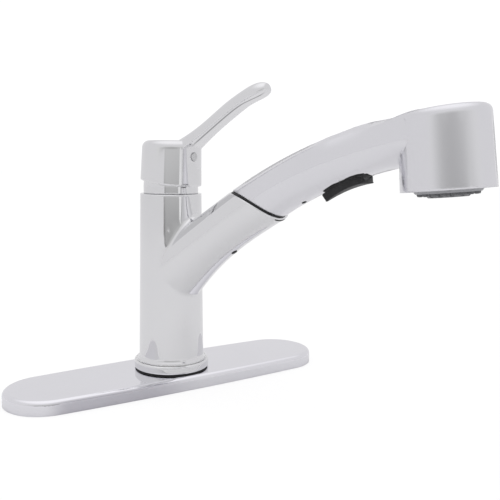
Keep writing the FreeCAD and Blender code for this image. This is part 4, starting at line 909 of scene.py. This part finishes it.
class FAUCET_OT_small_marks(bpy.types.Operator):
    """Key below the dock seam, plug under the neck and liner of the weep hole"""

    bl_idname = "faucet.small_marks"
    bl_label = "Key, plug and liner"

    def execute(self, context):
        size = context.scene.faucet_trim
        branch, neck = skin_of("column"), skin_of("wand_shell")
        start_below = BELOW_BRANCH * 8 * MM
        self.make_key(size, branch, start_below)

        start = PLUG_PLACE + start_below - ACROSS * size.plug_aside
        place, normal = meet(neck, start, -BELOW_BRANCH)
        plug = self.domed_plug("neck_plug", place, normal, size.plug_radius, "base_gasket")
        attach(plug, "wand")

        beside_hole, proud = 2.5 * MM, 0.25 * MM
        left, right = [
            meet(branch, LINER_PLACE + start_below + ACROSS * aside, -BELOW_BRANCH)[0]
            for aside in (-beside_hole, beside_hole)]
        place = (left + right) / 2 + BELOW_BRANCH * proud
        liner = self.domed_plug("weep_liner", place, BELOW_BRANCH, size.liner_radius, "dock_sleeve")
        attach(liner, "spout")
        return {"FINISHED"}

    def make_key(self, size, branch, start_below):
        """Slim key that follows the branch's underside from side to side and narrows at its ends."""
        steps, around, slimmest, end_sharpness = 20, 12, 0.25, 6
        half_length, height = ALONG_BRANCH * size.key_length / 2, BELOW_BRANCH * size.key_proud
        rings = []
        for step in range(steps + 1):
            share = 2 * step / steps - 1
            start = KEY_PLACE + start_below + ACROSS * size.key_width / 2 * share
            place = meet(branch, start, -BELOW_BRANCH)[0]
            slim = max(slimmest, math.sqrt(1 - share ** end_sharpness))
            rings.append(ring_about(place, half_length, height, slim, around))
        key = closed_piece("dock_key", rings, "dock_sleeve")
        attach(key, "spout")

    def domed_plug(self, name, place, normal, radius, like):
        """A low domed plug with a dimple, set into a surface, in the material of a CAD node."""
        around = 28
        # Share of the radius, and millimetres above the surface
        profile = (
            (1.0, -0.5), (1.0, 0.12), (0.93, 0.26), (0.75, 0.34), (0.42, 0.34), (0.3, 0.22), (0.14, 0.18))
        side = normal.cross(UP).normalized()
        other = normal.cross(side)
        return closed_piece(name, [
            ring_about(place + normal * height * MM, side, other, radius * share, around)
            for share, height in profile], like)


def add_plane(name, middle, along, upward, half_width, half_height, material):
    """A flat rectangle of the stage."""
    shape = bmesh.new()
    corners = []
    for sideways, rise in ((-1, -1), (1, -1), (1, 1), (-1, 1)):
        corners.append(shape.verts.new(middle + along * half_width * sideways + upward * half_height * rise))
    shape.faces.new(corners)
    made = add_piece(name, shape, material, False)
    return made


def glowing(name, glow, ramp, along, fade):
    """A material that glows from one brightness to another over a ramp of heights.

    A fade gives the distance, either way along a direction, over which the glow fades, and the brightness
    that it fades to.
    """
    made, tree, shader = new_material(name)
    tree.nodes.remove(shader)
    place = object_place(tree)
    level = map_range(tree, split_place(tree, place)["Z"], *ramp, *glow)
    if fade:
        reach, beyond = fade
        aside = math_node(tree, "ABSOLUTE", reach_along(tree, place, along))
        faded = map_range(tree, aside, 0, reach, 0, 1)
        gone = product(tree, faded, math_node(tree, "SUBTRACT", beyond, level))
        level = math_node(tree, "ADD", level, gone)
    emission = add_node(tree, "Emission", {"Strength": level}).outputs["Emission"]
    tree.links.new(emission, tree.nodes["Material Output"].inputs["Surface"])
    return made


def panel(name, angles, distance, heights, glow, ramp, fade):
    """An upright glowing panel that only reflections show, between two angles to the right of the camera."""
    ends = []
    for angle in angles:
        turned = math.radians(TO_CAMERA + angle)
        ends.append(Vector((distance * math.cos(turned), distance * math.sin(turned), 0)))
    first, second = ends
    foot, top = heights
    along = (second - first).normalized()
    middle = (first + second) / 2 + UP * (foot + top) / 2
    made = add_plane(name, middle, along, UP, (second - first).length / 2, (top - foot) / 2,
                     glowing(name, glow, ramp, along, fade))
    made.visible_camera = False
    made.visible_diffuse = False
    made.visible_shadow = False


class FAUCET_OT_studio(bpy.types.Operator):
    """White studio with floor, soft light and camera"""

    bl_idname = "faucet.studio"
    bl_label = "Studio"

    def execute(self, context):
        scene = context.scene
        set_up = scene.faucet_studio
        self.make_surround(scene, set_up)
        self.make_floor(set_up)
        self.make_panels(set_up)
        self.make_light(scene, set_up)
        self.make_camera(scene, set_up)
        scene.view_settings.view_transform = "Standard"
        return {"FINISHED"}

    def make_surround(self, scene, set_up):
        """White tent, brighter straight above, and brighter still where the camera sees it."""
        shoulder, crown = 0.6, 1.0
        world = bpy.data.worlds.new("white_surround")
        world.use_nodes = True
        scene.world = world
        tree = world.node_tree
        sky = tree.nodes["Background"]
        sky.inputs["Color"].default_value = (1.0, 0.995, 1.01, 1)
        direction = split_place(tree, add_node(tree, "TexCoord").outputs["Generated"])
        level = map_range(tree, direction["Z"], shoulder, crown, set_up.surround, set_up.overhead)
        seen = add_node(tree, "LightPath").outputs["Is Camera Ray"]
        lifted = math_node(tree, "MULTIPLY_ADD", seen, set_up.backdrop - set_up.surround, level)
        tree.links.new(lifted, sky.inputs["Strength"])

    def make_floor(self, set_up):
        """Pale floor just below the counter's top face, mostly glowing white where the camera sees it."""
        drop, half_size, glow_share, glow_level = 0.1 * MM, 6, 0.72, 1.05
        pale, tree, shader = new_material("pale_floor")
        shader.inputs["Base Color"].default_value = opaque(set_up.floor_tone)
        shader.inputs["Roughness"].default_value = 0.8
        shader.inputs["Specular IOR Level"].default_value = 0.1
        glow = add_node(tree, "Emission", {"Strength": glow_level * set_up.backdrop}).outputs["Emission"]
        seen = add_node(tree, "LightPath").outputs["Is Camera Ray"]
        inputs = {"Fac": product(tree, seen, glow_share), 1: shader.outputs["BSDF"], 2: glow}
        mixed = add_node(tree, "MixShader", inputs).outputs["Shader"]
        tree.links.new(mixed, tree.nodes["Material Output"].inputs["Surface"])
        add_plane("floor", -UP * drop, Vector((1, 0, 0)), Vector((0, 1, 0)), half_size, half_size, pale)

    def make_panels(self, set_up):
        """Grey, dark and bright panels behind the camera that the plating mirrors, in degrees and metres."""
        plain, dark = set_up.surround, set_up.dark_panel
        for name, angles, distance, heights, glow, ramp, fade in (
                ("grey_panel", (-27, 30), 1.2, (0.001, 0.22), (dark, 0.66), (0.0, 0.22), None),
                ("dark_strip", (-27, -21), 1.05, (0.001, 0.22), (0.66 * dark, 1.5 * dark), (0.0, 0.22), None),
                ("soft_panel", (-60, 60), 2.4, (0.22, 0.75), (dark, plain), (0.26, 0.62), (1.75, plain)),
                ("bright_strip", (30, 36), 1.2, (0.001, 0.3), (1.25 * plain, plain), (0.0, 0.3), None),
                ("shade_strip", (41, 47), 1.2, (0.001, 0.16), (0.66 * plain, plain), (0.0, 0.16), None)):
            panel(name, angles, distance, heights, glow, ramp, fade)

    def make_light(self, scene, set_up):
        """Soft round light overhead."""
        lamp = bpy.data.lights.new("top_light", "AREA")
        lamp.shape = "DISK"
        lamp.size = 1.2
        lamp.energy = set_up.top_light
        overhead = bpy.data.objects.new("top_light", lamp)
        overhead.location = (-0.1, 0.1, 1.3)
        overhead.visible_camera = False
        overhead.visible_glossy = False
        scene.collection.objects.link(overhead)

    def make_camera(self, scene, set_up):
        """Camera that looks at the faucet from the front left, at the height of the spray head."""
        eye = bpy.data.cameras.new("camera")
        eye.sensor_width = 36.0
        eye.lens = set_up.lens
        eye.clip_start = 0.01
        camera = bpy.data.objects.new("camera", eye)
        turned = Matrix((CAMERA_RIGHT, CAMERA_UP, CAMERA_RIGHT.cross(CAMERA_UP))).transposed()
        camera.matrix_world = Matrix.Translation(Vector(set_up.camera_place)) @ turned.to_4x4()
        scene.collection.objects.link(camera)
        scene.camera = camera


OPERATORS = (
    FAUCET_OT_plating, FAUCET_OT_machined, FAUCET_OT_moulded, FAUCET_OT_hose,
    FAUCET_OT_screen, FAUCET_OT_nozzle_tips, FAUCET_OT_shank, FAUCET_OT_button,
    FAUCET_OT_small_marks, FAUCET_OT_studio)


class FAUCET_PT_panel(bpy.types.Panel):
    """Lists the pieces of the faucet and their sizes"""

    bl_idname = "FAUCET_PT_panel"
    bl_label = "Faucet"
    bl_space_type = "VIEW_3D"
    bl_region_type = "UI"
    bl_category = "Faucet"

    def draw(self, context):
        layout = self.layout
        for operator in OPERATORS:
            layout.operator(operator.bl_idname)
        for name in SETTINGS:
            settings = getattr(context.scene, name)
            box = layout.box()
            for prop in settings.__annotations__:
                box.prop(settings, prop)


SETTINGS = {
    "faucet_finish": FaucetFinish,
    "faucet_hose": FaucetHose,
    "faucet_trim": FaucetTrim,
    "faucet_studio": FaucetStudio,
}


def register():
    for made in (*SETTINGS.values(), *OPERATORS, FAUCET_PT_panel):
        bpy.utils.register_class(made)
    for name, group in SETTINGS.items():
        setattr(bpy.types.Scene, name, PointerProperty(type=group))


def unregister():
    for name in SETTINGS:
        delattr(bpy.types.Scene, name)
    for made in (FAUCET_PT_panel, *reversed(OPERATORS), *reversed(SETTINGS.values())):
        bpy.utils.unregister_class(made)


def main():
    register()
    bpy.ops.faucet.plating()
    bpy.ops.faucet.machined()
    bpy.ops.faucet.moulded()
    bpy.ops.faucet.hose()
    bpy.ops.faucet.screen()
    bpy.ops.faucet.nozzle_tips()
    bpy.ops.faucet.shank()
    bpy.ops.faucet.button()
    bpy.ops.faucet.small_marks()
    bpy.ops.faucet.studio()


if __name__ == "__main__":
    main()
